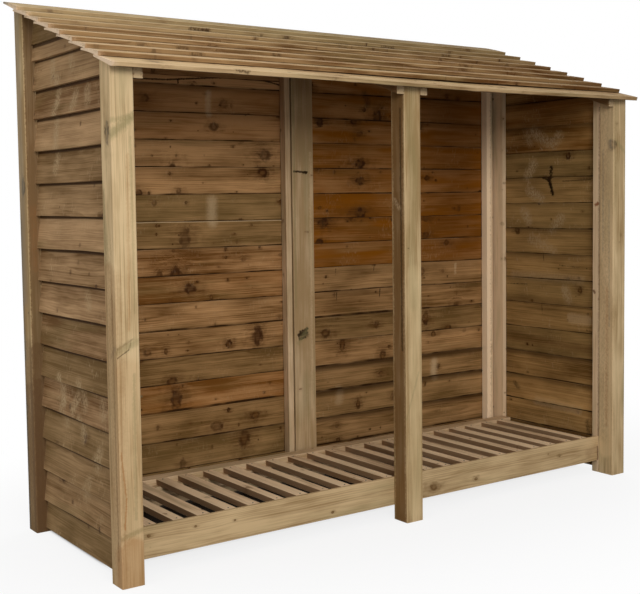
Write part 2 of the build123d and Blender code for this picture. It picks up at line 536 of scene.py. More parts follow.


# Colours, as the timber shows them in plain light, and colours for painted shade and light.
post_pale = paint(216, 188, 144)
post_dark = paint(160, 130, 88)
post_olive = paint(138, 128, 86)
post_knot = paint(92, 76, 50)
flank_brown = paint(152, 108, 66)
flank_scuff = paint(120, 94, 60)
flank_streak = paint(104, 80, 50)
resin_warm = paint(172, 118, 66)
wall_pale = paint(202, 153, 102)
wall_dark = paint(104, 66, 27)
wall_olive = paint(118, 100, 60)
wall_warm = paint(138, 80, 8)
knot_brown = paint(58, 30, 8)
batten_pale = paint(226, 196, 158)
batten_dark = paint(170, 138, 98)
batten_knot = paint(96, 60, 32)
painted_light_pale = paint(255, 226, 188)
sawn_pale = paint(206, 178, 138)
fibre_pale = paint(180, 154, 116)
roof_pale = paint(204, 174, 130)
roof_dark = paint(122, 86, 48)
roof_end_pale = paint(232, 204, 172)
joint_shadow = paint(56, 34, 13)
crack_dark = paint(44, 30, 14)
damp_and_shade_brown = paint(84, 46, 8)
edge_grey = paint(74, 72, 62)
shaded_brown = paint(104, 74, 48)
weather_grey = paint(112, 106, 92)

# How a timber is grown, sawn and worn, unless its material says otherwise.
usual_timber = dict(
    ring_width=0.004,
    wander=0.012,
    ring_strength=0.4,
    blotches=1.0,
    contrast=1.0,
    sawn=0.4,
    branch_knots=0.3,
    branch_size=0.009,
    pin_knots=0.3,
    smear=1.0,
    arris_share=0.3,
    end_share=0.4,
    bump=0.0006,
)
usual_laps = dict(painted_butt_shade=None, joint_at_ends=1.0, line=0.0025, shadow=0.0062, outer_warmth=1.0)
branch_cell = (0.19, 0.06, 0.06)
pin_cell = (0.075, 0.034, 0.04)
pin_size = 0.0031


def gather_knots(tree, grain, group, look, single_knots):
    """All the knots of a timber: their pull on the grain, and their colouring."""
    branches, pins = (
        place_group(tree, group, Grain=grain, Cell=cell, Share=share, Size=size)
        for cell, share, size in (
            (branch_cell, look["branch_knots"], look["branch_size"]),
            (pin_cell, look["pin_knots"], pin_size),
        )
    )
    found = {"Swing_Across": branches["Swing Across"], "Swing_Through": 0.0}
    for part in ("Heart", "Rim", "Halo"):
        found[part] = larger(tree, branches[part], pins[part])
    for centre, radius, squash, strength in single_knots:
        one = place_group(
            tree,
            single_knot_group,
            Grain=grain,
            Centre=centre,
            Radius=radius,
            Squash=squash,
            Strength=strength,
        )
        for part in found:
            way = "ADD" if part.startswith("Swing") else "MAXIMUM"
            found[part] = calc(tree, way, found[part], one[part.replace("_", " ")])
    found["Halo"] = times(tree, found["Halo"], look["smear"])
    return found


def wear(tree, edge, look):
    """Rubbed edges and sawn ends."""
    on_arris = calc(
        tree, "MINIMUM", calc(tree, "ABSOLUTE", edge["Y"]), calc(tree, "ABSOLUTE", edge["Z"])
    )
    rubbed = fade(tree, on_arris, 0.9, 0.97, 0.0, look["arris_share"])
    return larger(tree, rubbed, fade(tree, edge["X"], 0.0, 0.004, look["end_share"], 0.0))


def lay_marks(tree, colour, marks):
    """Cracks, scuffs, stains and patches of painted shade and light, one over another."""
    place = object_place(tree)
    for start, finish, half_width, softness, speckle, strength, tint in marks:
        mark = place_group(
            tree,
            mark_group,
            Place=place,
            Start=start,
            Finish=finish,
            Half_Width=half_width,
            Softness=softness,
            Speckle=speckle,
        )
        colour = mingle(tree, times(tree, mark["Mask"], strength), colour, tint)
    return colour


def shade_laps(tree, colour, grain, edge_vector, painted_shade, edge_colour, laps):
    """Dark joints (painted shade with some dirt), painted highlights on the tips and butts browned by
    painted shade, on lapped boards.
    """
    lapped = place_group(
        tree,
        lap_group,
        Seam=read_attribute(tree, "seam"),
        Edge=edge_vector,
        Grain=grain,
        Shade=painted_shade,
        Line=laps["line"],
        Shadow=laps["shadow"],
    )
    # Painted shade on butts that face down from the light, with some browner wood.
    if laps["painted_butt_shade"]:
        shaded_butt = mingle(tree, 1.0, colour, laps["painted_butt_shade"], "MULTIPLY")
        colour = mingle(tree, times(tree, lapped["Butt"], painted_shade), colour, shaded_butt)
    # A painted highlight on the tips, in the worn edge colour.
    colour = mingle(tree, lapped["Pale"], colour, edge_colour)
    from_end = split(tree, edge_vector)["X"]
    # Painted shade in the joints and under butts and tips, weaker at the board ends where joint_at_ends is
    # low.
    joint_and_lap_shade = times(tree, lapped["Dark"], fade(tree, from_end, 0.004, 0.02, laps["joint_at_ends"], 1.0))
    return mingle(tree, joint_and_lap_shade, colour, joint_shadow)


def new_material(name):
    material = bpy.data.materials.new(name)
    material.use_nodes = True
    return material, material.node_tree, material.node_tree.nodes["Principled BSDF"]


def make_timber(name, colours, single_knots=(), marks=(), shaded_sides=None, laps=None, **changes):
    """A material for one kind of timber. Its colours are pale, dark, warm, stain, knot and worn edge; the
    worn edge colour also paints the highlight on lapped tips, and shaded sides get painted shade.
    """
    pale, dark, warm, stain, knot, edge_colour = colours
    look = {**usual_timber, **changes}
    material, tree, surface = new_material(name)
    surface.inputs["Specular IOR Level"].default_value = 0.06
    grain = read_attribute(tree, "grain")
    mood = split(tree, read_attribute(tree, "mood"))
    edge_vector = read_attribute(tree, "edge")
    edge = split(tree, edge_vector)
    warmth = mood["Y"]
    if laps and laps["outer_warmth"] < 1.0:
        warmth = times(tree, warmth, fade(tree, edge["Z"], -0.85, -0.6, 1.0, laps["outer_warmth"]))

    knot_group = board_knot_group if laps else timber_knot_group
    wood = place_group(
        tree,
        softwood_group,
        Grain=grain,
        Tone=mood["X"],
        Warmth=warmth,
        Ring_Width=look["ring_width"],
        Wander=look["wander"],
        Ring_Strength=look["ring_strength"],
        Blotches=look["blotches"],
        Contrast=look["contrast"],
        Pale=pale,
        Dark=dark,
        Warm=warm,
        Stain=stain,
        Knot_Colour=knot,
        **gather_knots(tree, grain, knot_group, look, single_knots),
    )
    fluff = place_group(tree, saw_mark_group, Grain=grain, Amount=look["sawn"])
    colour = mingle(tree, times(tree, fluff["Fluff"], 0.5), wood["Color"], edge_colour)
    if shaded_sides:
        # Painted shade on the sides, which face away from the light.
        side_shade_colour, side_shade_share = shaded_sides
        on_shaded_side = fade(tree, calc(tree, "ABSOLUTE", edge["Y"]), 0.97, 0.99, 0.0, side_shade_share)
        colour = mingle(tree, on_shaded_side, colour, side_shade_colour)
    colour = mingle(tree, wear(tree, edge, look), colour, edge_colour)
    if marks:
        colour = lay_marks(tree, colour, marks)
    if laps:
        colour = shade_laps(tree, colour, grain, edge_vector, mood["Z"], edge_colour, laps)
    feed(tree, surface.inputs["Base Color"], colour)
    feed(tree, surface.inputs["Roughness"], wood["Roughness"])
    relief = put(tree, "ShaderNodeBump")
    relief.inputs["Strength"].default_value = 0.7
    relief.inputs["Distance"].default_value = look["bump"]
    feed(tree, relief.inputs["Height"], calc(tree, "ADD", wood["Height"], fluff["Height"]))
    feed(tree, surface.inputs["Normal"], relief.outputs[0])
    return material


def make_nail_steel():
    material, tree, surface = new_material("galvanised nail heads")
    surface.inputs["Metallic"].default_value = 0.8
    scuffs = noise(tree, stretch(tree, object_place(tree), 900, 900, 900))
    feed(tree, surface.inputs["Base Color"], mingle(tree, scuffs, paint(70, 62, 52), paint(140, 134, 124)))
    feed(tree, surface.inputs["Roughness"], times_plus(tree, scuffs, 0.4, 0.35))
    return material


def pen_on(axis, plane):
    """A pen for marks on a flat face: from one spot on it to another, then the mark's look.

    The look is half width, softness, speckle, strength and tint.
    """
    def mark(across, height, to_across, to_height, *look):
        if axis == "X":
            return ((plane, across, height), (plane, to_across, to_height), *look)
        return ((across, plane, height), (to_across, plane, to_height), *look)

    return mark


# Modelling at the bench: every timber starts lying along X and is then put in its place.
def leave_all():
    bpy.ops.object.select_all(action="DESELECT")


def take_up(*pieces):
    leave_all()
    for piece in pieces:
        piece.select_set(True)
    bpy.context.view_layer.objects.active = pieces[0]


def settle(*pieces):
    """Puts each piece's place into its mesh."""
    take_up(*pieces)
    bpy.ops.object.transform_apply(location=True, rotation=True, scale=True)


def select_where(piece, mode, test):
    """In edit mode, selects only the corners, edges or faces that pass the test."""
    bpy.ops.mesh.select_mode(type=mode)
    bpy.ops.mesh.select_all(action="DESELECT")
    shape = bmesh.from_edit_mesh(piece.data)
    members = {"VERT": shape.verts, "EDGE": shape.edges, "FACE": shape.faces}[mode]
    for member in members:
        if test(member):
            member.select_set(True)
    shape.select_flush_mode()
    bmesh.update_edit_mesh(piece.data)


def runs_along(edge):
    start, end = (corner.co for corner in edge.verts)
    return abs(end.x - start.x) > 0.9 * (end - start).length


def saw_blank(name, length, thick, wide, cuts):
    """A squared blank on the origin, along X, cut across into stretches that can bow."""
    leave_all()
    bpy.ops.mesh.primitive_cube_add(size=1, location=(0, 0, 0), scale=(length, thick, wide))
    blank = bpy.context.active_object
    blank.name = name
    settle(blank)
    bpy.ops.object.mode_set(mode="EDIT")
    select_where(blank, "EDGE", runs_along)
    bpy.ops.mesh.subdivide(number_cuts=cuts)
    return blank


def ease_edges(piece, arris, segments):
    """Takes the sharp edges off along the timber. The piece is in edit mode."""
    def sharp(edge):
        return runs_along(edge) and edge.calc_face_angle(0) > 1.0

    select_where(piece, "EDGE", sharp)
    bpy.ops.mesh.bevel(offset=arris, segments=segments, affect="EDGES")


def cut_off(spot, outward):
    """Saws off all that lies outward of a plane. The piece is in edit mode."""
    bpy.ops.mesh.select_all(action="SELECT")
    bpy.ops.mesh.bisect(plane_co=spot, plane_no=outward, use_fill=True, clear_outer=True)


def mark_timber(piece, lumber, pith, tone, warmth, shade=0.0):
    """Writes where each corner lies in its log, how near it is to the faces, and the timber's mood."""
    mesh = piece.data
    corners = [corner.co.copy() for corner in mesh.vertices]
    low = Vector([min(co[i] for co in corners) for i in range(3)])
    high = Vector([max(co[i] for co in corners) for i in range(3)])
    middle = (low + high) / 2
    half = (high - low) / 2
    names = ("grain", "edge", "mood")
    for name in names:
        mesh.attributes.new(name, "FLOAT_VECTOR", "POINT")
    grain, edge, mood = (mesh.attributes[name] for name in names)
    for corner, co in enumerate(corners):
        away = co - middle
        grain.data[corner].vector = (co.x + lumber * log_spacing, co.z - pith[0], co.y - pith[1])
        edge.data[corner].vector = (half.x - abs(away.x), away.z / half.z, away.y / half.y)
        mood.data[corner].vector = (tone, warmth, shade)


def mark_seams(piece, lap, width, exposure, turn_below=0.0, turn_above=0.0):
    """Writes each corner's height over the joint, and its depth under its own tip and the next butt."""
    mesh = piece.data
    mesh.attributes.new("seam", "FLOAT_VECTOR", "POINT")
    seam = mesh.attributes["seam"]
    for corner, vertex in enumerate(mesh.vertices):
        x, z = vertex.co.x, vertex.co.z
        seam.data[corner].vector = (z - lap - turn_below * x, width - z, exposure - z + turn_above * x)


def bow(piece, at, push, reach):
    """Pushes the stretch at one cross cut sideways, fading out over its reach. In edit mode."""
    corners = bmesh.from_edit_mesh(piece.data).verts
    nearest = min((corner.co.x for corner in corners), key=lambda x: abs(x - at))
    select_where(piece, "VERT", lambda corner: abs(corner.co.x - nearest) < 0.001)
    bpy.ops.transform.translate(
        value=push,
        use_proportional_edit=True,
        proportional_edit_falloff="SMOOTH",
        proportional_size=reach,
    )


def turn_and_place(piece, along, outward, up, spot):
    """Turns the bench's X, Y and Z to along, outward and up, and puts the origin on the spot."""
    turned = Matrix((along, outward, up)).transposed().to_4x4()
    piece.matrix_world = Matrix.Translation(spot) @ turned
    settle(piece)


def cut_under_roof(piece):
    """Saws off all that stands above the roof line."""
    if max(corner.co.z - roof_underside(corner.co.y) for corner in piece.data.vertices) <= 0.0:
        return
    take_up(piece)
    bpy.ops.object.mode_set(mode="EDIT")
    cut_off(front_post_top, roof_normal)
    bpy.ops.object.mode_set(mode="OBJECT")


def copy_of(master, name):
    made = master.copy()
    made.data = master.data.copy()
    made.name = name
    bpy.context.scene.collection.objects.link(made)
    return made


def put_together(name, members):
    """Joins members into one named piece."""
    take_up(*members)
    bpy.ops.object.join()
    members[0].name = name
    members[0].data.name = name
    return members[0]


def finish_piece(piece, material, nodes):
    piece.data.materials.clear()
    piece.data.materials.append(material)
    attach(piece, "root")
    if nodes:
        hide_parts(*nodes)


# Squared timbers: posts, battens, rafters, rail and floor timbers.
AXES = {
    "X": (Vector((1, 0, 0)), Vector((0, 1, 0)), Vector((0, 0, 1))),
    "Y": (Vector((0, 1, 0)), Vector((0, 0, 1)), Vector((1, 0, 0))),
    "Z": (Vector((0, 0, 1)), Vector((1, 0, 0)), Vector((0, 1, 0))),
}
PITH = {}


def squared_timber(name, low, high, along, lumber, arris=timber_arris, cuts=6, tone=0.0, warmth=0.0):
    """A squared timber between two corners, with eased edges and its pith somewhere beside it."""
    chance = random.Random(lumber)
    axes = AXES[along]
    middle = (low + high) / 2
    length, thick, wide = (abs((high - low).dot(axis)) for axis in axes)
    timber = saw_blank(name, length, thick, wide, cuts)
    ease_edges(timber, arris, 3 if arris > 0.003 else 2)
    bpy.ops.object.mode_set(mode="OBJECT")
    pith = (chance.uniform(-0.5, 0.5) * wide, thick * chance.uniform(0.7, 1.6))
    PITH[name] = (lumber, pith, axes, middle)
    mark_timber(timber, lumber, pith, tone, warmth)
    turn_and_place(timber, *axes, middle)
    return timber


def timber_for(node, along, lumber, **look):
    """The squared timber that stands for a node."""
    low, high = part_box(node)
    return squared_timber(node + "_timber", low, high, along, lumber, **look)


def in_the_log(node, spot):
    """The place of a spot of the object in that timber's own log."""
    lumber, pith, axes, middle = PITH[node + "_timber"]
    along, outward, up = ((Vector(spot) - middle).dot(axis) for axis in axes)
    return (along + lumber * log_spacing, up - pith[0], outward - pith[1])


round_knot = (0.8, 1.0, 1.0)
oval_knot = (0.5, 1.0, 1.0)
through_knot = (0.8, 1.0, 0.25)
spike_knot = (1.0, 0.55, 0.25)

# Posts, each with its tone: pale above 0.
post_tones = {
    "front_left_post": 0.15,
    "front_middle_post": -0.32,
    "front_right_post": 0.0,
    "back_left_post": -0.4,
    "back_right_post": -0.2,
}
posts = {}
for number, (name, tone) in enumerate(post_tones.items()):
    posts[name] = timber_for(name, "Z", post_lumber + number, arris=post_arris, cuts=8, tone=tone)
    cut_under_roof(posts[name])

left_post_low, left_post_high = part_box("front_left_post")
middle_post_low, middle_post_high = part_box("front_middle_post")
right_post_low, right_post_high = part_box("front_right_post")
back_post_low, back_post_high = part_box("back_left_post")
front_y = left_post_low.y
post_knots = [
    ("front_left_post", (left_post_low.x, -0.352, 1.312), 0.013, oval_knot),
    ("front_left_post", (left_post_high.x, -0.340, 0.52), 0.010, round_knot),
    ("front_middle_post", (middle_post_low.x, -0.340, 1.100), 0.009, round_knot),
    ("front_middle_post", (middle_post_high.x, -0.350, 0.75), 0.011, round_knot),
    ("front_right_post", (right_post_low.x + 0.002, -0.372, 1.318), 0.016, round_knot),
    ("front_right_post", (1.074, front_y, 0.962), 0.005, round_knot),
    ("front_right_post", (right_post_high.x, -0.345, 0.70), 0.012, round_knot),
    ("back_left_post", (back_post_low.x, 0.326, 1.175), 0.015, oval_knot),
    ("back_left_post", (back_post_low.x, back_post_high.y - 0.02, 0.42), 0.009, round_knot),
    ("back_right_post", (1.1, 0.335, 0.90), 0.013, round_knot),
]
front = pen_on("Y", front_y)
left_flank = pen_on("X", left_post_low.x)
middle_flank = pen_on("X", middle_post_low.x)
right_flank = pen_on("X", right_post_low.x)
back_front = pen_on("Y", back_post_low.y)
back_flank = pen_on("X", back_post_low.x)
post_marks = [
    # The back left post's shaded face beside the wall.
    back_front(-1.078, 0.0, -1.078, 1.74, 0.022, 0.3, 0.0, 0.6, shaded_brown),
    back_front(-1.078, 0.90, -1.078, 1.10, 0.020, 0.8, 0.5, 0.4, paint(150, 104, 62)),
    # Darker in the back left post's lower part, and greyer down its outer edge.
    back_front(-1.078, 0.0, -1.078, 0.50, 0.034, 0.3, 0.2, 0.50, paint(92, 62, 34)),
    back_front(-1.078, 0.0, -1.078, 0.62, 0.034, 0.3, 0.3, 0.50, paint(104, 74, 44)),
    back_flank(0.330, 0.0, 0.330, 0.46, 0.060, 0.4, 0.3, 0.50, paint(106, 78, 52)),
    back_flank(0.330, 0.0, 0.330, 0.62, 0.060, 0.6, 0.4, 0.50, paint(112, 86, 60)),
    back_flank(0.368, 0.0, 0.368, 0.44, 0.024, 0.7, 0.3, 0.55, edge_grey),
    back_flank(0.368, 0.0, 0.368, 0.68, 0.026, 0.8, 0.3, 0.50, edge_grey),
    back_flank(0.368, 0.60, 0.368, 1.05, 0.030, 0.7, 0.2, 0.60, paint(94, 91, 82)),
    back_flank(0.345, 0.80, 0.345, 1.74, 0.045, 0.9, 0.2, 0.40, paint(138, 132, 120)),
    # The olive stain that runs round the corner from the left post's knot.
    front(-1.108, 1.302, -1.030, 1.358, 0.022, 0.95, 0.0, 0.62, post_olive),
    front(-1.100, 1.345, -1.045, 1.358, 0.014, 0.95, 0.0, 0.4, post_olive),
    left_flank(-0.352, 1.285, -0.352, 1.340, 0.014, 0.9, 0.3, 0.35, weather_grey),
    # Two slanting cracks with a stain between them.
    front(-1.094, 0.698, -1.050, 0.724, 0.0050, 0.9, 0.2, 0.40, damp_and_shade_brown),
    front(-1.099, 0.672, -1.062, 0.694, 0.0030, 0.8, 0.1, 0.75, crack_dark),
    front(-1.062, 0.694, -1.056, 0.712, 0.0040, 0.9, 0.3, 0.50, damp_and_shade_brown),
    front(-1.100, 0.684, -1.098, 0.700, 0.0040, 0.9, 0.4, 0.50, crack_dark),
    front(-1.102, 0.688, -1.040, 0.716, 0.020, 0.95, 0.0, 0.45, post_olive),
    left_flank(-0.37, 0.700, -0.345, 0.672, 0.012, 0.9, 0.0, 0.4, weather_grey),
    # Resin flames and a damp line near the left post's foot.
    front(-1.088, 0.175, -1.080, 0.265, 0.0040, 0.8, 0.0, 0.7, resin_warm),
    front(-1.082, 0.270, -1.094, 0.400, 0.0040, 0.8, 0.0, 0.6, resin_warm),
    front(-1.104, 0.148, -1.028, 0.166, 0.012, 0.9, 0.0, 0.5, post_olive),
    front(-1.064, 0.0, -1.064, 0.095, 0.060, 0.3, 0.0, 0.46, resin_warm),
    front(-1.064, 0.17, -1.064, 0.620, 0.064, 0.5, 0.0, 0.18, resin_warm),
    # The left post's browner flank, and streaks down it and down its front.
    left_flank(-0.340, 0.0, -0.340, 0.900, 0.055, 0.4, 0.0, 0.36, flank_brown),
    left_flank(-0.346, 0.05, -0.346, 1.00, 0.040, 0.9, 1.0, 0.22, flank_scuff),
    left_flank(-0.362, 0.08, -0.358, 0.85, 0.007, 0.9, 0.2, 0.45, flank_streak),
    left_flank(-0.326, 0.30, -0.322, 1.15, 0.009, 0.9, 0.3, 0.35, paint(112, 88, 58)),
    front(-1.052, 0.20, -1.048, 0.62, 0.008, 0.9, 0.2, 0.35, post_olive),
    front(-1.060, 0.75, -1.052, 1.25, 0.007, 0.9, 0.2, 0.30, resin_warm),
    front(-1.040, 0.80, -1.042, 1.30, 0.006, 0.9, 0.2, 0.30, post_olive),
    # The middle post's pale foot, its left face darkened by painted shade and darker wood, and its heart
    # streak.
    front(0.004, 0.04, 0.004, 0.860, 0.046, 0.8, 0.0, 0.30, paint(224, 198, 150)),
    middle_flank(-0.346, 0.0, -0.346, 1.52, 0.034, 0.35, 0.0, 0.68, wall_dark),
    middle_flank(-0.362, 0.60, -0.360, 1.42, 0.006, 0.6, 0.0, 0.6, crack_dark),
    middle_flank(-0.352, 1.085, -0.325, 1.112, 0.014, 0.8, 0.8, 0.5, sawn_pale),
    front(-0.042, 1.103, -0.041, 1.108, 0.004, 0.6, 0.0, 0.8, knot_brown),
    front(middle_post_low.x, 0.36, 0.02, 0.52, 0.006, 0.9, 0.0, 0.3, post_olive),
    front(0.0, 0.75, 0.0, 1.50, 0.026, 0.9, 0.0, 0.25, post_olive),
    # Painted light on the right post's left face; its joint line, its knot and its green edge.
    right_flank(-0.346, 0.10, -0.346, 1.50, 0.044, 0.5, 0.0, 0.42, paint(232, 200, 154)),
    right_flank(-0.3125, 0.15, -0.3125, 1.47, 0.0045, 0.9, 0.3, 0.55, damp_and_shade_brown),
    right_flank(-0.340, 0.15, -0.340, 1.45, 0.040, 0.9, 1.0, 0.22, paint(120, 96, 66)),
    right_flank(-0.352, 0.20, -0.352, 0.75, 0.010, 0.9, 0.5, 0.4, resin_warm),
    right_flank(-0.330, 0.90, -0.330, 1.30, 0.008, 0.9, 0.3, 0.35, weather_grey),
    right_flank(-0.364, 0.60, -0.360, 1.10, 0.006, 0.9, 0.3, 0.35, weather_grey),
    front(1.050, 1.330, 1.094, 1.290, 0.014, 0.95, 0.0, 0.35, post_olive),
    right_flank(-0.368, 1.310, -0.364, 1.335, 0.012, 0.8, 0.3, 0.7, weather_grey),
    front(1.098, 0.30, 1.098, 1.48, 0.010, 0.9, 0.0, 0.3, post_olive),
]
post_timber = make_timber(
    "post timber",
    (post_pale, post_dark, resin_warm, post_olive, post_knot, sawn_pale),
    single_knots=[(in_the_log(node, spot), size, squash, 1.0) for node, spot, size, squash in post_knots],
    marks=post_marks,
    ring_width=0.0060,
    wander=0.030,
    ring_strength=0.3,
    blotches=1.1,
    contrast=1.2,
    sawn=0.15,
    branch_knots=0.0,
    pin_knots=0.04,
    arris_share=0.45,
    bump=0.0004,
    smear=0.35,
)
for name, piece in posts.items():
    finish_piece(piece, post_timber, [name])

# Battens, each with its tone and its warmth: olive below 0.
batten_moods = {
    "left_wall_front_batten": (0.0, 0.0),
    "left_wall_back_batten": (0.0, 0.0),
    "right_wall_front_batten": (0.55, 0.05),
    "right_wall_back_batten": (0.60, 0.0),
    "back_left_batten": (0.0, 0.0),
    "back_right_batten": (0.75, 0.0),
    "back_middle_board": (-0.54, -0.10),
    "back_middle_batten": (0.05, 0.05),
}
right_bay_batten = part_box("back_right_batten")[0]
batten_middle_y = right_bay_batten.y + 0.017
middle_board = pen_on("Y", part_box("back_middle_board")[0].y)
right_batten = pen_on("X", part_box("right_wall_front_batten")[0].x)
batten_marks = [
    # Painted light down the left face of the right bay's back batten.
    pen_on("X", right_bay_batten.x)(
        batten_middle_y, 0.1, batten_middle_y, 1.6, 0.030, 0.2, 0.0, 0.9, painted_light_pale
    ),
    # The shaded head of the middle board, its slot, its dark knot and its streaks.
    middle_board(0.0, 1.570, 0.0, 1.680, 0.080, 0.9, 0.0, 0.4, wall_dark),
    middle_board(-0.042, 1.228, 0.018, 1.225, 0.0052, 0.5, 0.0, 0.9, crack_dark),
    middle_board(0.004, 1.224, 0.018, 1.224, 0.0075, 0.5, 0.0, 0.9, crack_dark),
    middle_board(-0.020, 0.602, 0.012, 0.612, 0.0085, 0.6, 0.2, 0.95, crack_dark),
    middle_board(-0.030, 0.590, 0.010, 0.598, 0.0085, 0.6, 0.2, 0.95, crack_dark),
    middle_board(-0.026, 0.574, 0.000, 0.580, 0.0075, 0.6, 0.2, 0.9, crack_dark),
    middle_board(-0.018, 0.590, 0.004, 0.590, 0.022, 0.9, 0.0, 0.7, crack_dark),
    middle_board(-0.03, 0.560, 0.012, 0.608, 0.016, 0.9, 0.0, 0.4, post_olive),
    middle_board(0.030, 0.30, 0.036, 1.30, 0.010, 0.9, 0.4, 0.45, sawn_pale),
    middle_board(-0.040, 0.70, -0.040, 1.50, 0.008, 0.9, 0.0, 0.35, post_olive),
    # Two knots and the joint line on the right wall's front batten.
    right_batten(-0.302, 1.089, -0.294, 1.083, 0.010, 0.7, 0.0, 0.85, paint(136, 74, 40)),
    right_batten(-0.284, 0.738, -0.290, 0.730, 0.007, 0.7, 0.0, 0.8, paint(96, 56, 32)),
    right_batten(-0.309, 0.15, -0.309, 1.47, 0.0045, 0.9, 0.3, 0.55, damp_and_shade_brown),
]
batten_timber = make_timber(
    "batten timber",
    (batten_pale, batten_dark, resin_warm, post_olive, batten_knot, sawn_pale),
    marks=batten_marks,
    ring_width=0.0045,
    wander=0.024,
    ring_strength=0.35,
    contrast=1.05,
    sawn=0.3,
    branch_knots=0.25,
    branch_size=0.006,
    pin_knots=0.2,
    smear=0.5,
)
for number, (name, (tone, warmth)) in enumerate(batten_moods.items()):
    timber = timber_for(name, "Z", batten_lumber + number, tone=tone, warmth=warmth)
    cut_under_roof(timber)
    finish_piece(timber, batten_timber, [name])
rail = timber_for("back_top_rail", "X", rail_lumber, tone=-0.1)
finish_piece(rail, batten_timber, ["back_top_rail"])

rafter_names = ["left_rafter", "middle_left_rafter", "middle_right_rafter", "right_rafter"]


def pale_rafter_end(name):
    """The clean end that shows under the roof's front edge."""
    low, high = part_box(name)
    end = pen_on("X", (low.x + high.x) / 2)
    end_y = low.y - 0.028
    return end(end_y, low.z + 0.004, end_y, low.z + 0.036, 0.036, 0.2, 0.0, 0.8, sawn_pale)


rafter_timber = make_timber(
    "rafter timber",
    (paint(160, 124, 84), paint(98, 68, 36), resin_warm, wall_olive, knot_brown, sawn_pale),
    marks=[pale_rafter_end(name) for name in rafter_names],
    wander=0.024,
    ring_strength=0.35,
    arris_share=0.2,
)


def make_rafter(name, lumber):
    """A rafter on its slope, its two ends sawn plumb."""
    low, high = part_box(name)
    drop = high.z - low.z - (high.y - low.y) * roof_slope
    middle = Vector(((low.x + high.x) / 2, (low.y + high.y) / 2, 0))
    middle.z = roof_underside(middle.y) - drop / 2
    depth = drop * math.cos(roof_angle)
    length = (high.y - low.y) / math.cos(roof_angle) + 2 * depth
    rafter = saw_blank(name + "_timber", length, depth, high.x - low.x, 4)
    ease_edges(rafter, timber_arris, 2)
    bpy.ops.object.mode_set(mode="OBJECT")
    mark_timber(rafter, lumber, (0.004, 0.05), -0.1, 0.0)
    turn_and_place(rafter, up_the_roof, roof_normal, Vector((1, 0, 0)), middle)
    bpy.ops.object.mode_set(mode="EDIT")
    cut_off((0, low.y, 0), (0, -1, 0))
    cut_off((0, high.y, 0), (0, 1, 0))
    bpy.ops.object.mode_set(mode="OBJECT")
    finish_piece(rafter, rafter_timber, [name])


for number, name in enumerate(rafter_names):
    make_rafter(name, rafter_lumber + number)

# The beam along the front of the floor, with its knots and the joint at its right end.
beam = timber_for("front_floor_beam", "X", beam_lumber, cuts=10, tone=0.14)
beam_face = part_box("front_floor_beam")[0].y
beam_front = pen_on("Y", beam_face)
beam_knots = [
    (0.148, 0.082, 0.011),
    (0.354, 0.080, 0.006),
    (-0.978, 0.118, 0.004),
    (-0.820, 0.118, 0.003),
    (-0.680, 0.112, 0.003),
    (-0.30, 0.070, 0.004),
    (0.80, 0.100, 0.004),
]
beam_timber = make_timber(
    "beam timber",
    (paint(208, 178, 134), paint(146, 116, 76), resin_warm, post_olive, paint(96, 66, 34), sawn_pale),
    single_knots=[
        (in_the_log("front_floor_beam", (x, beam_face, z)), radius, round_knot, 0.8)
        for x, z, radius in beam_knots
    ],
    marks=[
        beam_front(1.024, 0.050, 1.024, 0.105, 0.005, 0.8, 0.2, 0.75, knot_brown),
        beam_front(0.975, 0.085, 1.010, 0.095, 0.036, 0.9, 0.2, 0.35, paint(112, 78, 46)),
    ],
    ring_width=0.0055,
    wander=0.028,
    ring_strength=0.35,
    sawn=0.1,
    branch_knots=0.0,
    pin_knots=0.05,
)
finish_piece(beam, beam_timber, ["front_floor_beam"])
for number, name in enumerate(["front_floor_bearer", "rear_floor_bearer", "rear_floor_ledger"]):
    finish_piece(timber_for(name, "X", bearer_lumber + number), batten_timber, [name])

# Floor slats, one after another across both bays.
slat_timber = make_timber(
    "slat timber",
    (paint(244, 214, 174), paint(164, 128, 92), resin_warm, wall_olive, paint(100, 62, 34), sawn_pale),
    # Painted shade on the slats' sides.
    shaded_sides=(paint(110, 74, 40), 0.8),
    wander=0.02,
    blotches=0.8,
    branch_knots=0.2,
    branch_size=0.006,
    pin_knots=0.2,
    contrast=0.8,
)


def slat_centres(node):
    """The middle line of each slat of a bay."""
    low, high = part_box(node)
    pitch = (high.x - low.x - slat_width) / (slats_per_bay - 1)
    return [low.x + slat_width / 2 + number * pitch for number in range(slats_per_bay)]


def make_slats(node, first_lumber):
    low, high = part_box(node)
    slats = []
    for number, centre in enumerate(slat_centres(node)):
        chance = random.Random(first_lumber + number)
        half = slat_width / 2 * chance.uniform(0.84, 1.16)
        centre += chance.uniform(-0.003, 0.003)
        drop = chance.uniform(0, 0.0015)
        slat = squared_timber(
            f"{node}_{number + 1:02d}",
            Vector((centre - half, low.y, low.z)),
            Vector((centre + half, high.y, high.z - drop)),
            "Y",
            first_lumber + number,
            cuts=3,
            tone=chance.uniform(0.05, 0.75),
            warmth=chance.uniform(-0.1, 0.1),
        )
        slats.append(slat)
    finish_piece(put_together(node + "_timber", slats), slat_timber, [node])


make_slats("left_bay_slats", left_slat_lumber)
make_slats("right_bay_slats", right_slat_lumber)


# Lapped boards. A board on the bench has its inner face on Y = 0 and its thick edge on Z = 0.
def make_feather_board(name, length, width):
    board = saw_blank(name, length, board_butt, width, board_saw_cuts)
    bpy.ops.mesh.select_all(action="SELECT")
    bpy.ops.transform.translate(value=(0, board_butt / 2, width / 2))
    select_where(board, "VERT", lambda corner: corner.co.y > board_butt / 2 and corner.co.z > width / 2)
    bpy.ops.transform.translate(value=(0, board_tip - board_butt, 0))
    for share in (0.5, 0.72, 0.88):
        bpy.ops.mesh.select_all(action="SELECT")
        bpy.ops.mesh.bisect(plane_co=(0, 0, width * share), plane_no=(0, 0, 1))
    ease_edges(board, board_arris, 1)
    bpy.ops.object.mode_set(mode="OBJECT")
    return board


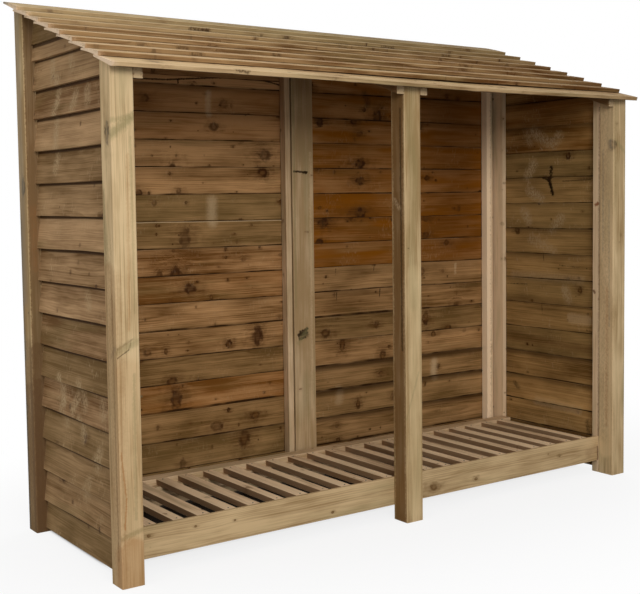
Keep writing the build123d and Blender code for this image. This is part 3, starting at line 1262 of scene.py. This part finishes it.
def curl_tip(board, width, amount):
    """Curls the thin edge inwards, as it dries. In edit mode."""
    for share, part in ((0.65, 0.15), (0.8, 0.35), (0.95, 0.5)):
        select_where(board, "VERT", lambda corner: corner.co.z > width * share)
        bpy.ops.transform.translate(value=(0, -amount * part, 0))


def lay_board(master, name, shares, width, lumber, bend, pith, mood, seams):
    """A copy of the master board with its own size, log, mood and bow."""
    board = copy_of(master, name)
    board.scale = shares
    settle(board)
    mark_timber(board, lumber, pith, *mood)
    mark_seams(board, *seams)
    chance = random.Random(lumber)
    half = board.dimensions.x / 2
    bpy.ops.object.mode_set(mode="EDIT")
    curl_tip(board, width, 0.004 * max(0.0, mood[2]))
    bow(board, chance.uniform(-0.5, 0.5) * half, (0, 0, bend[1]), half * 0.9)
    bow(board, chance.uniform(-0.6, 0.6) * half, (0, bend[0], 0), half * 0.8)
    bpy.ops.object.mode_set(mode="OBJECT")
    return board


def lay_out_rows(exposures, width, first_lumber):
    """The lapped rows of one wall from the foot up: foot height, exposure, width and tilt of each."""
    rows = []
    foot = 0.0
    for number, (exposure, share) in enumerate(exposures):
        chance = random.Random(first_lumber + number)
        tilt = chance.uniform(-0.0035, 0.0035) if number else 0.0
        rows.append((foot, exposure, width * share, tilt))
        foot += exposure
    return rows


WALL_BOARDS = {}


def lapped_wall(name, node, first_lumber, outward, exposures, width, moods):
    """Boards lapped up a wall, each resting on the tip of the one below."""
    low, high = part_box(node)
    up = Vector((0, 0, 1))
    along = outward.cross(up)
    middle = (low + high) / 2
    length = abs((high - low).dot(along))
    inner = middle - outward * abs((high - low).dot(outward)) / 2
    master = make_feather_board("lapped board pattern", length, width)
    rows = lay_out_rows(exposures, width, first_lumber)
    no_board = (0, 0, 0, 0)
    boards = []
    known = WALL_BOARDS[node] = []
    for number, (foot, exposure, board_width, tilt) in enumerate(rows):
        chance = random.Random(bow_draws + first_lumber + number)
        below = rows[number - 1] if number else no_board
        above = rows[number + 1] if number + 1 < len(rows) else no_board
        lap = below[0] + below[2] - foot if number else -0.03
        bend = (chance.uniform(-0.0015, 0.0015), chance.uniform(-0.003, 0.003))
        pith = (chance.uniform(-0.02, width + 0.02), -chance.uniform(0.006, 0.07))
        board = lay_board(
            master,
            f"{name}_{number + 1:02d}",
            (1, 1, board_width / width),
            board_width,
            first_lumber + number,
            bend,
            pith,
            moods(number, chance),
            (lap, board_width, exposure, below[3] - tilt, above[3] - tilt),
        )
        known.append((low.z + foot, first_lumber + number, pith))
        lean = math.atan2(board_lift if number else board_lift * 0.6, width)
        across = outward * math.cos(lean) + up * math.sin(lean)
        level = (along * math.cos(tilt) + up * math.sin(tilt)).normalized()
        across = (across - level * across.dot(level)).normalized()
        spot = Vector((inner.x, inner.y, low.z + foot)) + outward * board_width * math.sin(lean)
        turn_and_place(board, level, across, level.cross(across), spot)
        cut_under_roof(board)
        boards.append(board)
    bpy.data.objects.remove(master)
    return put_together(name, boards)


def wall_knot(node, x, height, radius, squash, strength):
    """A knot on a back wall's inner face, in its board's own log."""
    low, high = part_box(node)
    along = x - (low.x + high.x) / 2
    foot, lumber, pith = [board for board in WALL_BOARDS[node] if board[0] <= height][-1]
    return ((along + lumber * log_spacing, height - foot - pith[0], -pith[1]), radius, squash, strength)


# Exposure of each row from the foot up, and its board's share of the full width.
side_rows = [(exposure, 1.0) for exposure in [0.096] + [0.107] * 12 + [0.093, 0.098, 0.052, 0.100]]
foot_rows = [(0.110, 1.0), (0.109, 1.0)]
usual_row = (0.099, 1.0)
back_left_rows = foot_rows + [usual_row] * 13 + [(0.030, 0.44), usual_row, usual_row]
back_right_rows = foot_rows + [usual_row] * 16


# A board's mood is its tone (pale above 0), its warmth (olive below 0) and its curl. The curl also sets the
# painted shade below the tip; below 0 it paints a highlight on the tip instead.
def left_wall_mood(number, chance):
    tone = chance.uniform(-0.68, -0.13) + 0.035 * min(number, 10)
    return tone, chance.uniform(-0.45, 0.0), chance.uniform(0.0, 0.2)


def right_wall_mood(number, chance):
    """Darker and warmer towards the roof, with three paler boards halfway."""
    upper = number > 11
    tone = chance.uniform(-0.2, 0.15) - (0.022 if upper else 0.010) * min(number, 12)
    tone += 0.12 if 6 <= number <= 8 else 0.0
    return tone, chance.uniform(-0.45, -0.05) + (0.6 if upper else 0.0), chance.uniform(0.1, 0.75)


left_bay_moods = [
    (-0.25, -0.5, 0.0),
    (-0.28, -0.45, 0.3),
    (-0.18, -0.35, 0.2),
    (-0.22, 0.55, 0.1),
    (-0.26, -0.35, 0.2),
    (-0.10, -0.15, 0.1),
    (-0.12, -0.1, 0.2),
    (-0.24, 0.25, 0.1),
    (-0.20, 0.05, 0.2),
    (-0.24, -0.4, -0.8),
    (-0.22, -0.5, 0.1),
    (-0.07, -0.15, 0.1),
    (0.09, -0.15, 0.2),
    (0.24, 0.45, 0.2),
    (0.22, 0.5, 0.4),
    (0.45, 0.0, 0.0),
    (0.20, 0.4, 0.3),
    (0.20, 0.4, 0.3),
]
right_bay_moods = [
    (-0.12, -0.3, 0.0),
    (-0.22, -0.3, 0.7),
    (-0.08, -0.4, 0.75),
    (-0.12, -0.35, 0.8),
    (0.04, -0.2, 0.2),
    (-0.20, -0.4, 0.2),
    (-0.10, -0.2, 0.3),
    (0.03, -0.25, 0.2),
    (-0.24, 0.95, 0.2),
    (-0.48, 1.0, 0.2),
    (-0.36, 1.0, 0.2),
    (-0.16, 0.95, 0.2),
    (-0.28, 1.0, 0.2),
    (-0.06, 1.0, 0.2),
    (0.05, 0.95, 0.4),
    (0.15, 0.9, 0.3),
    (0.15, 0.9, 0.3),
    (0.15, 0.9, 0.3),
]


def listed(moods):
    return lambda number, chance: moods[number]


to_left = Vector((-1, 0, 0))
to_right = Vector((1, 0, 0))
to_back = Vector((0, 1, 0))
# What each wall's boards are called, the way they face, their rows, their width and their moods.
wall_plans = {
    "left_wall_boards": ("left_wall", to_left, side_rows, side_board_width, left_wall_mood),
    "right_wall_boards": ("right_wall", to_right, side_rows, side_board_width, right_wall_mood),
    "back_wall_left_boards": (
        "back_left", to_back, back_left_rows, back_board_width, listed(left_bay_moods)
    ),
    "back_wall_right_boards": (
        "back_right", to_back, back_right_rows, back_board_width, listed(right_bay_moods)
    ),
}
walls = {}
for number, (node, (name, *plan)) in enumerate(wall_plans.items()):
    first_lumber = wall_lumber + number * lumber_per_wall
    walls[node] = lapped_wall(name + "_lapped_boards", node, first_lumber, *plan)

left_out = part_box("left_wall_boards")[0].x
right_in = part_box("right_wall_boards")[0].x
back_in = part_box("back_wall_left_boards")[0].y
on_right_wall = pen_on("X", right_in)
on_back_wall = pen_on("Y", back_in)


def fuzzy(plane, along, height, reach, strength, slant=0.2):
    """A patch of lifted pale fibres on a side wall."""
    aside = slant * reach
    half = 0.5 * reach
    look = (0.036, 0.8, 0.8, strength, fibre_pale)
    return pen_on("X", plane)(along - aside, height - half, along + aside, height + half, *look)


wall_tints = (wall_warm, wall_olive, knot_brown, sawn_pale)
wall_settings = dict(
    ring_width=0.0045,
    wander=0.024,
    ring_strength=0.30,
    blotches=1.15,
    arris_share=0.0,
    end_share=0.2,
)


def side_material(name, pale, dark, marks, joint_line=usual_laps["line"]):
    return make_timber(
        name,
        (pale, dark, *wall_tints),
        marks=marks,
        laps={**usual_laps, "line": joint_line},
        contrast=0.85,
        sawn=0.8,
        branch_knots=0.1,
        pin_knots=0.08,
        bump=0.001,
        **wall_settings,
    )


left_wall_timber = side_material(
    "left wall boards",
    paint(192, 154, 112),
    paint(108, 76, 44),
    [
        fuzzy(left_out, 0.130, 1.545, 0.040, 0.8),
        fuzzy(left_out, 0.094, 1.468, 0.070, 0.8, -0.1),
        fuzzy(left_out, 0.119, 1.365, 0.065, 0.9, 0.05),
        fuzzy(left_out, -0.041, 1.431, 0.035, 0.7, -0.3),
        fuzzy(left_out, -0.141, 1.438, 0.030, 0.6),
        fuzzy(left_out, -0.019, 1.555, 0.030, 0.7),
        fuzzy(left_out, 0.120, 1.260, 0.065, 0.8, -0.1),
        fuzzy(left_out, -0.100, 0.820, 0.030, 0.6, 0.3),
        fuzzy(left_out, 0.125, 0.511, 0.065, 1.0),
        fuzzy(left_out, 0.020, 0.480, 0.045, 0.8, -0.3),
        fuzzy(left_out, -0.032, 0.406, 0.045, 0.9, 0.2),
        fuzzy(left_out, -0.150, 0.330, 0.045, 0.8, -0.4),
        fuzzy(left_out, -0.040, 0.517, 0.060, 0.7, 0.3),
        fuzzy(left_out, -0.190, 0.493, 0.040, 0.6),
        fuzzy(left_out, 0.114, 0.431, 0.045, 0.6, 0.3),
        fuzzy(left_out, -0.059, 0.220, 0.050, 0.6, -0.4),
    ],
)
right_wall_timber = side_material(
    "right wall boards",
    paint(200, 156, 97),
    paint(100, 67, 27),
    [
        fuzzy(right_in, 0.028, 1.372, 0.050, 0.8, 0.8),
        fuzzy(right_in, -0.060, 1.354, 0.030, 0.7, -0.6),
        fuzzy(right_in, 0.096, 1.370, 0.030, 0.5),
        fuzzy(right_in, 0.086, 1.234, 0.045, 0.8, -0.4),
        fuzzy(right_in, 0.060, 1.127, 0.035, 0.8, 0.9),
        fuzzy(right_in, 0.110, 1.035, 0.035, 0.8, 0.3),
        fuzzy(right_in, -0.063, 1.005, 0.045, 0.7, -0.5),
        fuzzy(right_in, 0.020, 0.915, 0.050, 0.5, 1.2),
        fuzzy(right_in, -0.120, 0.708, 0.035, 0.6),
        # The four arms of the star crack.
        on_right_wall(-0.032, 1.240, -0.024, 1.192, 0.014, 0.6, 0.0, 1.0, crack_dark),
        on_right_wall(-0.024, 1.192, -0.040, 1.130, 0.013, 0.6, 0.0, 1.0, crack_dark),
        on_right_wall(0.008, 1.200, -0.020, 1.190, 0.009, 0.6, 0.0, 0.9, crack_dark),
        on_right_wall(-0.052, 1.208, -0.024, 1.190, 0.008, 0.6, 0.0, 0.8, crack_dark),
        # Two board ends, and splits along the boards.
        on_right_wall(0.007, 0.885, 0.007, 0.833, 0.0025, 0.5, 0.0, 0.8, crack_dark),
        on_right_wall(0.016, 0.661, 0.016, 0.592, 0.0025, 0.5, 0.0, 0.7, crack_dark),
        on_right_wall(0.250, 0.738, 0.104, 0.742, 0.003, 0.6, 0.0, 0.8, crack_dark),
        on_right_wall(-0.100, 1.182, -0.250, 1.186, 0.004, 0.8, 0.0, 0.6, crack_dark),
        on_right_wall(0.250, 0.819, 0.060, 0.822, 0.0035, 0.6, 0.0, 0.8, crack_dark),
        on_right_wall(0.060, 0.822, -0.080, 0.831, 0.0025, 0.6, 0.0, 0.6, crack_dark),
        on_right_wall(-0.080, 0.831, -0.262, 0.820, 0.0045, 0.6, 0.0, 0.85, crack_dark),
        # Shaded hollows, scraped pale patches and dark knots lower down.
        on_right_wall(0.244, 0.674, -0.258, 0.672, 0.030, 1.0, 0.0, 0.28, damp_and_shade_brown),
        on_right_wall(0.244, 0.505, -0.258, 0.490, 0.036, 1.0, 0.0, 0.38, damp_and_shade_brown),
        on_right_wall(-0.020, 0.140, -0.258, 0.128, 0.034, 1.0, 0.0, 0.45, damp_and_shade_brown),
        on_right_wall(-0.145, 0.612, -0.235, 0.610, 0.030, 0.5, 0.2, 0.32, sawn_pale),
        on_right_wall(0.050, 0.240, -0.190, 0.232, 0.026, 0.6, 0.2, 0.28, sawn_pale),
        on_right_wall(0.190, 0.780, -0.200, 0.775, 0.030, 0.9, 0.3, 0.25, sawn_pale),
        on_right_wall(0.180, 0.300, 0.160, 0.284, 0.018, 0.8, 0.5, 0.65, crack_dark),
        on_right_wall(-0.232, 0.190, -0.236, 0.150, 0.018, 0.8, 0.5, 0.6, crack_dark),
        on_right_wall(-0.225, 0.568, -0.250, 0.562, 0.010, 0.7, 0.2, 0.8, crack_dark),
    ],
    joint_line=0.0017,
)
finish_piece(walls["left_wall_boards"], left_wall_timber, ["left_wall_boards"])
finish_piece(walls["right_wall_boards"], right_wall_timber, ["right_wall_boards"])

# Along, height, radius, squash and strength of each known knot.
left_bay_knots = [
    (-0.650, 1.486, 0.012, through_knot, 0.6),
    (-0.325, 1.478, 0.013, through_knot, 0.4),
    (-0.370, 1.392, 0.014, through_knot, 0.6),
    (-0.150, 1.290, 0.020, through_knot, 0.7),
    (-0.545, 1.225, 0.016, spike_knot, 0.8),
    (-0.162, 1.222, 0.016, through_knot, 1.0),
    (-0.500, 0.980, 0.020, spike_knot, 0.6),
    (-0.539, 0.835, 0.021, spike_knot, 0.9),
    (-0.482, 0.795, 0.018, through_knot, 0.9),
    (-0.195, 0.597, 0.019, spike_knot, 0.9),
    (-0.564, 0.458, 0.015, through_knot, 0.8),
    (-0.549, 0.395, 0.020, spike_knot, 0.8),
    (-0.262, 0.209, 0.020, spike_knot, 0.7),
    (-0.215, 0.290, 0.014, through_knot, 0.7),
    (-0.380, 0.270, 0.018, through_knot, 0.5),
    (-0.66, 0.575, 0.012, through_knot, 0.6),
]
right_bay_knots = [
    (0.402, 1.455, 0.018, spike_knot, 0.9),
    (0.308, 1.385, 0.011, through_knot, 0.6),
    (0.310, 1.260, 0.017, through_knot, 1.0),
    (0.307, 1.193, 0.015, through_knot, 0.9),
    (0.309, 1.061, 0.018, through_knot, 1.0),
    (0.118, 1.024, 0.018, through_knot, 1.0),
    (0.106, 0.948, 0.012, through_knot, 0.9),
    (0.658, 0.959, 0.014, through_knot, 0.9),
    (0.774, 0.925, 0.011, through_knot, 0.7),
    (0.126, 0.581, 0.016, through_knot, 0.7),
    (0.385, 0.597, 0.011, through_knot, 0.8),
    (0.207, 0.523, 0.012, spike_knot, 0.8),
    (0.419, 0.462, 0.014, spike_knot, 0.7),
    (0.655, 0.605, 0.014, spike_knot, 0.9),
    (0.834, 0.633, 0.015, spike_knot, 0.9),
    (0.786, 0.553, 0.012, through_knot, 0.8),
]


def dark_heart(x, z):
    """The dark middle of a large knot in the back wall."""
    return on_back_wall(x, z + 0.004, x, z - 0.004, 0.011, 0.8, 0.4, 0.6, crack_dark)


def pale_bar(x, foot, top, half_width, strength):
    """Where a spacer stick lay across a board in the drying stack."""
    return on_back_wall(x, foot, x, top, half_width, 0.9, 0.1, strength, sawn_pale)


left_bay_marks = [
    pale_bar(-0.392, 1.440, 1.515, 0.020, 0.65),
    pale_bar(-0.385, 1.040, 1.118, 0.034, 0.45),
    # Painted shade in the open joint over the narrow strip near the top, and a greenish nail stain.
    on_back_wall(-0.720, 1.553, -0.560, 1.556, 0.0035, 0.5, 0.0, 0.9, crack_dark),
    on_back_wall(-0.560, 1.556, -0.330, 1.576, 0.0040, 0.5, 0.0, 0.9, crack_dark),
    on_back_wall(-0.330, 1.576, -0.176, 1.578, 0.0040, 0.5, 0.0, 0.9, crack_dark),
    on_back_wall(-0.176, 1.578, -0.080, 1.561, 0.0040, 0.5, 0.0, 0.9, crack_dark),
    on_back_wall(-0.517, 1.545, -0.517, 1.560, 0.004, 0.5, 0.0, 0.9, crack_dark),
    on_back_wall(-0.700, 0.415, -0.690, 0.420, 0.008, 0.8, 0.0, 0.5, paint(110, 128, 104)),
]
right_bay_marks = [
    # Short cracks across the boards at half height.
    on_back_wall(0.179, 0.838, 0.179, 0.755, 0.003, 0.5, 0.0, 0.8, crack_dark),
    on_back_wall(0.181, 0.742, 0.181, 0.690, 0.003, 0.5, 0.0, 0.7, crack_dark),
    on_back_wall(0.374, 0.838, 0.374, 0.785, 0.003, 0.5, 0.0, 0.8, crack_dark),
    on_back_wall(0.404, 0.745, 0.402, 0.690, 0.0035, 0.5, 0.0, 0.8, crack_dark),
    on_back_wall(0.372, 0.690, 0.374, 0.650, 0.002, 0.5, 0.0, 0.8, crack_dark),
    # Painted shade over the right-hand half, drying bars, the stain under the roof and dark knots.
    on_back_wall(0.800, 1.000, 0.800, 1.500, 0.340, 1.0, 0.0, 0.5, damp_and_shade_brown),
    pale_bar(0.190, 0.300, 0.345, 0.030, 0.35),
    pale_bar(0.700, 0.352, 0.412, 0.030, 0.6),
    pale_bar(0.826, 0.790, 0.830, 0.010, 0.5),
    on_back_wall(0.338, 1.545, 0.350, 1.505, 0.026, 0.9, 0.4, 0.6, crack_dark),
    dark_heart(0.310, 1.260),
    dark_heart(0.307, 1.193),
    dark_heart(0.309, 1.058),
    dark_heart(0.118, 1.024),
    dark_heart(0.106, 0.950),
    dark_heart(0.658, 0.959),
]
for name, node, knots, marks in (
    ("left bay back boards", "back_wall_left_boards", left_bay_knots, left_bay_marks),
    ("right bay back boards", "back_wall_right_boards", right_bay_knots, right_bay_marks),
):
    back_timber = make_timber(
        name,
        (wall_pale, wall_dark, *wall_tints),
        single_knots=[wall_knot(node, *knot) for knot in knots],
        marks=marks,
        laps={**usual_laps, "outer_warmth": 0.4},
        sawn=0.3,
        pin_knots=0.18,
        bump=0.0008,
        **wall_settings,
    )
    finish_piece(walls[node], back_timber, [node])

# Roof boards, each lapped over the one in front of and below it.
roof_low, roof_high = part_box("roof_boards")


def roof_edge_mark(x, *look):
    """A mark all the way up one end of the roof."""
    front_height, back_height = (roof_underside(y) + 0.007 for y in (roof_low.y, roof_high.y))
    return pen_on("X", x)(roof_low.y, front_height, roof_high.y, back_height, *look)


def roof_knot(x, y, reach, strength):
    """A dark knot smeared along a roof board."""
    z = roof_underside(y) + 0.014
    return pen_on("Y", y)(x - reach, z, x + reach, z, 0.017, 0.8, 0.6, strength, knot_brown)


# Along, back, half length and strength of each known roof knot.
roof_knots = [
    (-0.691, 0.048, 0.022, 0.85),
    (-0.482, 0.212, 0.034, 0.85),
    (-0.748, -0.160, 0.012, 0.7),
    (-0.745, -0.241, 0.016, 0.65),
    (-0.397, -0.157, 0.010, 0.6),
    (-0.120, -0.265, 0.018, 0.7),
    (0.078, 0.127, 0.014, 0.6),
    (0.373, 0.204, 0.026, 0.85),
    (0.374, -0.272, 0.018, 0.7),
    (0.601, 0.125, 0.018, 0.7),
]
roof_corner = (roof_low.x, roof_high.y, roof_high.z)
roof_marks = [
    # Painted light towards the left end and painted shade towards the right.
    roof_edge_mark(roof_low.x, 1.3, 1.0, 0.0, 0.30, paint(226, 194, 150)),
    roof_edge_mark(roof_high.x, 1.3, 1.0, 0.0, 0.30, roof_dark),
    *[roof_knot(*knot) for knot in roof_knots],
    # Pale left ends, a knot in the front edge, and weathered ends and back edge.
    roof_edge_mark(roof_low.x, 0.034, 0.8, 0.6, 0.9, roof_end_pale),
    roof_edge_mark(roof_low.x, 0.012, 0.5, 0.0, 0.9, roof_end_pale),
    pen_on("Y", roof_low.y)(-0.715, 1.503, -0.673, 1.499, 0.009, 0.7, 0.5, 0.8, knot_brown),
    roof_edge_mark(roof_high.x, 0.014, 0.6, 0.3, 0.6, weather_grey),
    (roof_corner, (roof_low.x, 0.38, roof_high.z), 0.03, 0.9, 0, 0.8, weather_grey),
    (roof_corner, roof_high, 0.006, 0.6, 0.2, 0.6, weather_grey),
]
roof_timber = make_timber(
    "roof boards",
    (roof_pale, roof_dark, wall_warm, post_olive, paint(62, 38, 18), paint(226, 198, 156)),
    marks=roof_marks,
    # The butts get painted shade, as they face down and away from the light.
    laps={**usual_laps, "painted_butt_shade": (0.56, 0.47, 0.37, 1), "joint_at_ends": 0.1, "shadow": 0.0026},
    ring_width=0.0045,
    wander=0.024,
    blotches=1.2,
    contrast=1.6,
    sawn=0.5,
    branch_knots=0.4,
    arris_share=0.6,
    end_share=0.0,
    bump=0.001,
)

# Tone, warmth (olive below 0) and the strength of the painted shade on the butt, from the front board up.
roof_moods = [
    (0.42, 0.0, 0.2),
    (0.12, 0.05, 0.9),
    (0.08, 0.1, 0.9),
    (0.00, 0.0, 0.9),
    (0.08, 0.0, 0.9),
    (0.00, -0.1, 0.8),
    (0.02, -0.25, 0.5),
    (0.10, -0.4, 0.3),
    (0.10, -0.5, 0.2),
]
front_board_bend = (-0.005, -0.001)


def make_roof():
    slope_length = (roof_high.y - roof_low.y) / math.cos(roof_angle)
    usual_exposure = (slope_length - roof_board_width) / (roof_board_count - 1)
    lap = roof_board_width - usual_exposure
    length = roof_high.x - roof_low.x - roof_end_slack
    master = make_feather_board("roof board pattern", length, roof_board_width)
    boards = []
    for number in range(roof_board_count):
        lumber = roof_lumber + number
        chance = random.Random(lumber)
        last = number == roof_board_count - 1
        exposure = roof_board_width if last else usual_exposure
        lift = roof_board_lift if number else 0.0
        lean = 0.0 if last else math.atan2(lift, roof_board_width)
        up = up_the_roof * math.cos(lean) - roof_normal * math.sin(lean)
        outward = roof_normal * math.cos(lean) + up_the_roof * math.sin(lean)
        bend = (chance.uniform(-0.001, 0.001), chance.uniform(-0.002, 0.002))
        pith = (chance.uniform(0, roof_board_width), -chance.uniform(0.01, 0.06))
        board = lay_board(
            master,
            f"roof_board_{number + 1}",
            (1.0 - chance.uniform(0, roof_end_slack) / roof_high.x, 1, 1),
            roof_board_width,
            lumber,
            bend if number else front_board_bend,
            pith,
            roof_moods[number],
            (lap, roof_board_width, exposure),
        )
        foot = Vector((0, roof_low.y, roof_underside(roof_low.y))) + up_the_roof * usual_exposure * number
        sideways = Vector((chance.uniform(-0.5, 0.5) * roof_end_slack, 0, 0))
        turn_and_place(board, outward.cross(up), outward, up, foot + roof_normal * lift + sideways)
        boards.append(board)
    bpy.data.objects.remove(master)
    finish_piece(put_together("roof_lapped_boards", boards), roof_timber, ["roof_boards"])


make_roof()


# Nails.
def make_nail_pattern():
    """One nail head, a little domed."""
    leave_all()
    bpy.ops.mesh.primitive_cylinder_add(
        vertices=10, radius=nail_radius, depth=nail_height, location=(0, 0, 0), end_fill_type="NGON"
    )
    nail = bpy.context.active_object
    nail.name = "nail pattern"
    bpy.ops.object.mode_set(mode="EDIT")
    select_where(nail, "FACE", lambda face: face.normal.z > 0.9)
    bpy.ops.mesh.inset(thickness=nail_radius * 0.35)
    bpy.ops.transform.translate(value=(0, 0, nail_height * 0.4))
    bpy.ops.object.mode_set(mode="OBJECT")
    return nail


def make_nails():
    """Nail heads, one through each end of every slat."""
    master = make_nail_pattern()
    nails = []
    for node in ("left_bay_slats", "right_bay_slats"):
        low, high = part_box(node)
        for centre in slat_centres(node):
            for y in (low.y + slat_nail_inset, high.y - slat_nail_inset):
                nail = copy_of(master, f"nail_{len(nails) + 1}")
                nail.location = (centre, y, high.z - nail_sink)
                nails.append(nail)
    settle(*nails)
    bpy.data.objects.remove(master)
    finish_piece(put_together("floor_nails", nails), make_nail_steel(), [])


make_nails()


# Floor, backdrop, light and camera. The camera's angles are in degrees.
camera_spot = (-2.3904, -3.2275, 1.1105)
camera_heading = -35.195
camera_dip = 3.752
camera_roll = -0.741


def seen_directly(tree):
    """One where the camera, a reflection or clear glass looks straight at it."""
    rays = put(tree, "ShaderNodeLightPath").outputs
    direct = larger(tree, rays["Is Camera Ray"], rays["Is Glossy Ray"])
    return larger(tree, direct, rays["Is Transmission Ray"])


def grey(share):
    return (share, share, share, 1)


def mix_shaders(tree, share, first, second, output):
    both = put(tree, "ShaderNodeMixShader")
    feed_all(tree, both.inputs, (share, first.outputs[0], second.outputs[0]))
    feed(tree, tree.nodes[output].inputs["Surface"], both.outputs[0])


def make_floor():
    """A pale floor that is white to the camera, but for the object's shadow and a dark patch of painted
    shade beneath it.
    """
    leave_all()
    bpy.ops.mesh.primitive_plane_add(size=80, location=(0, 0, -0.001))
    ground = bpy.context.active_object
    ground.name = "studio_floor"
    material, tree, surface = new_material("pale studio floor")
    surface.inputs["Roughness"].default_value = 0.9
    surface.inputs["Specular IOR Level"].default_value = 0.0
    glow = put(tree, "ShaderNodeEmission")
    glow.inputs["Strength"].default_value = 1.0
    direct = seen_directly(tree)
    here = object_place(tree)
    from_object = vector_calc(tree, "LENGTH", stretch(tree, here, 0.5, 1.0, 1.0))
    spot = split(tree, here)
    # Painted shade: a dark patch under the store, seen through the floor slats.
    painted_shade_beneath = fade(tree, calc(tree, "ABSOLUTE", spot["X"]), 1.04, 1.06, 1.0, 0.0)
    painted_shade_beneath = times(tree, painted_shade_beneath, fade(tree, spot["Y"], -0.20, -0.08))
    painted_shade_beneath = times(tree, painted_shade_beneath, fade(tree, spot["Y"], 0.355, 0.385, 1.0, 0.0))
    clear = fade(tree, from_object, 0.35, 1.6, 0.82, 1.0)
    clear = times(tree, clear, calc(tree, "SUBTRACT", 1.0, painted_shade_beneath))
    pale = mingle(tree, direct, grey(0.24), grey(0.9))
    feed(tree, surface.inputs["Base Color"], mingle(tree, painted_shade_beneath, pale, (0.055, 0.045, 0.036, 1)))
    mix_shaders(tree, times(tree, direct, clear), surface, glow, "Material Output")
    ground.data.materials.append(material)


def light_world():
    """Soft light from all round, in front of a white backdrop."""
    world = bpy.data.worlds.new("studio light")
    bpy.context.scene.world = world
    world.use_nodes = True
    tree = world.node_tree
    soft = tree.nodes["Background"]
    white = put(tree, "ShaderNodeBackground")
    for shader, strength in ((soft, 0.45), (white, 1.0)):
        shader.inputs["Color"].default_value = grey(1.0)
        shader.inputs["Strength"].default_value = strength
    mix_shaders(tree, seen_directly(tree), soft, white, "World Output")


def hang_lamp(name, spot, aim, size, power):
    lamp = bpy.data.lights.new(name, "AREA")
    lamp.shape = "RECTANGLE"
    lamp.size, lamp.size_y = size
    lamp.energy = power
    holder = bpy.data.objects.new(name, lamp)
    bpy.context.scene.collection.objects.link(holder)
    holder.location = spot
    holder.rotation_euler = (Vector(aim) - Vector(spot)).to_track_quat("-Z", "Y").to_euler()


def set_camera():
    camera = bpy.data.cameras.new("camera")
    camera.sensor_width = 36
    camera.lens = 61.17
    camera.shift_x = -0.0027
    camera.shift_y = -0.0377
    camera.clip_end = 200
    holder = bpy.data.objects.new("camera", camera)
    bpy.context.scene.collection.objects.link(holder)
    turn = Matrix.Rotation(math.radians(camera_heading), 4, "Z")
    nod = Matrix.Rotation(math.radians(90 - camera_dip), 4, "X")
    roll = Matrix.Rotation(math.radians(camera_roll), 4, "Z")
    holder.matrix_world = Matrix.Translation(camera_spot) @ turn @ nod @ roll
    bpy.context.scene.camera = holder


make_floor()
light_world()
hang_lamp("front softbox", (-2.0, -4.9, 2.7), (0, 0, 0.8), (2.6, 1.8), 132)
hang_lamp("low front softbox", (-0.8, -4.6, 0.9), (0, 0, 0.9), (2.6, 1.2), 13)
hang_lamp("side softbox", (-4.6, -1.0, 1.8), (0, 0, 0.8), (2.6, 2.2), 34)
hang_lamp("top softbox", (-1.5, -0.3, 4.2), (-0.5, 0, 1.6), (1.6, 1.2), 16)
hang_lamp("back softbox", (4.0, 3.8, 2.0), (0, 0, 0.8), (2.6, 1.8), 110)
set_camera()
bpy.context.scene.view_settings.view_transform = "Standard"
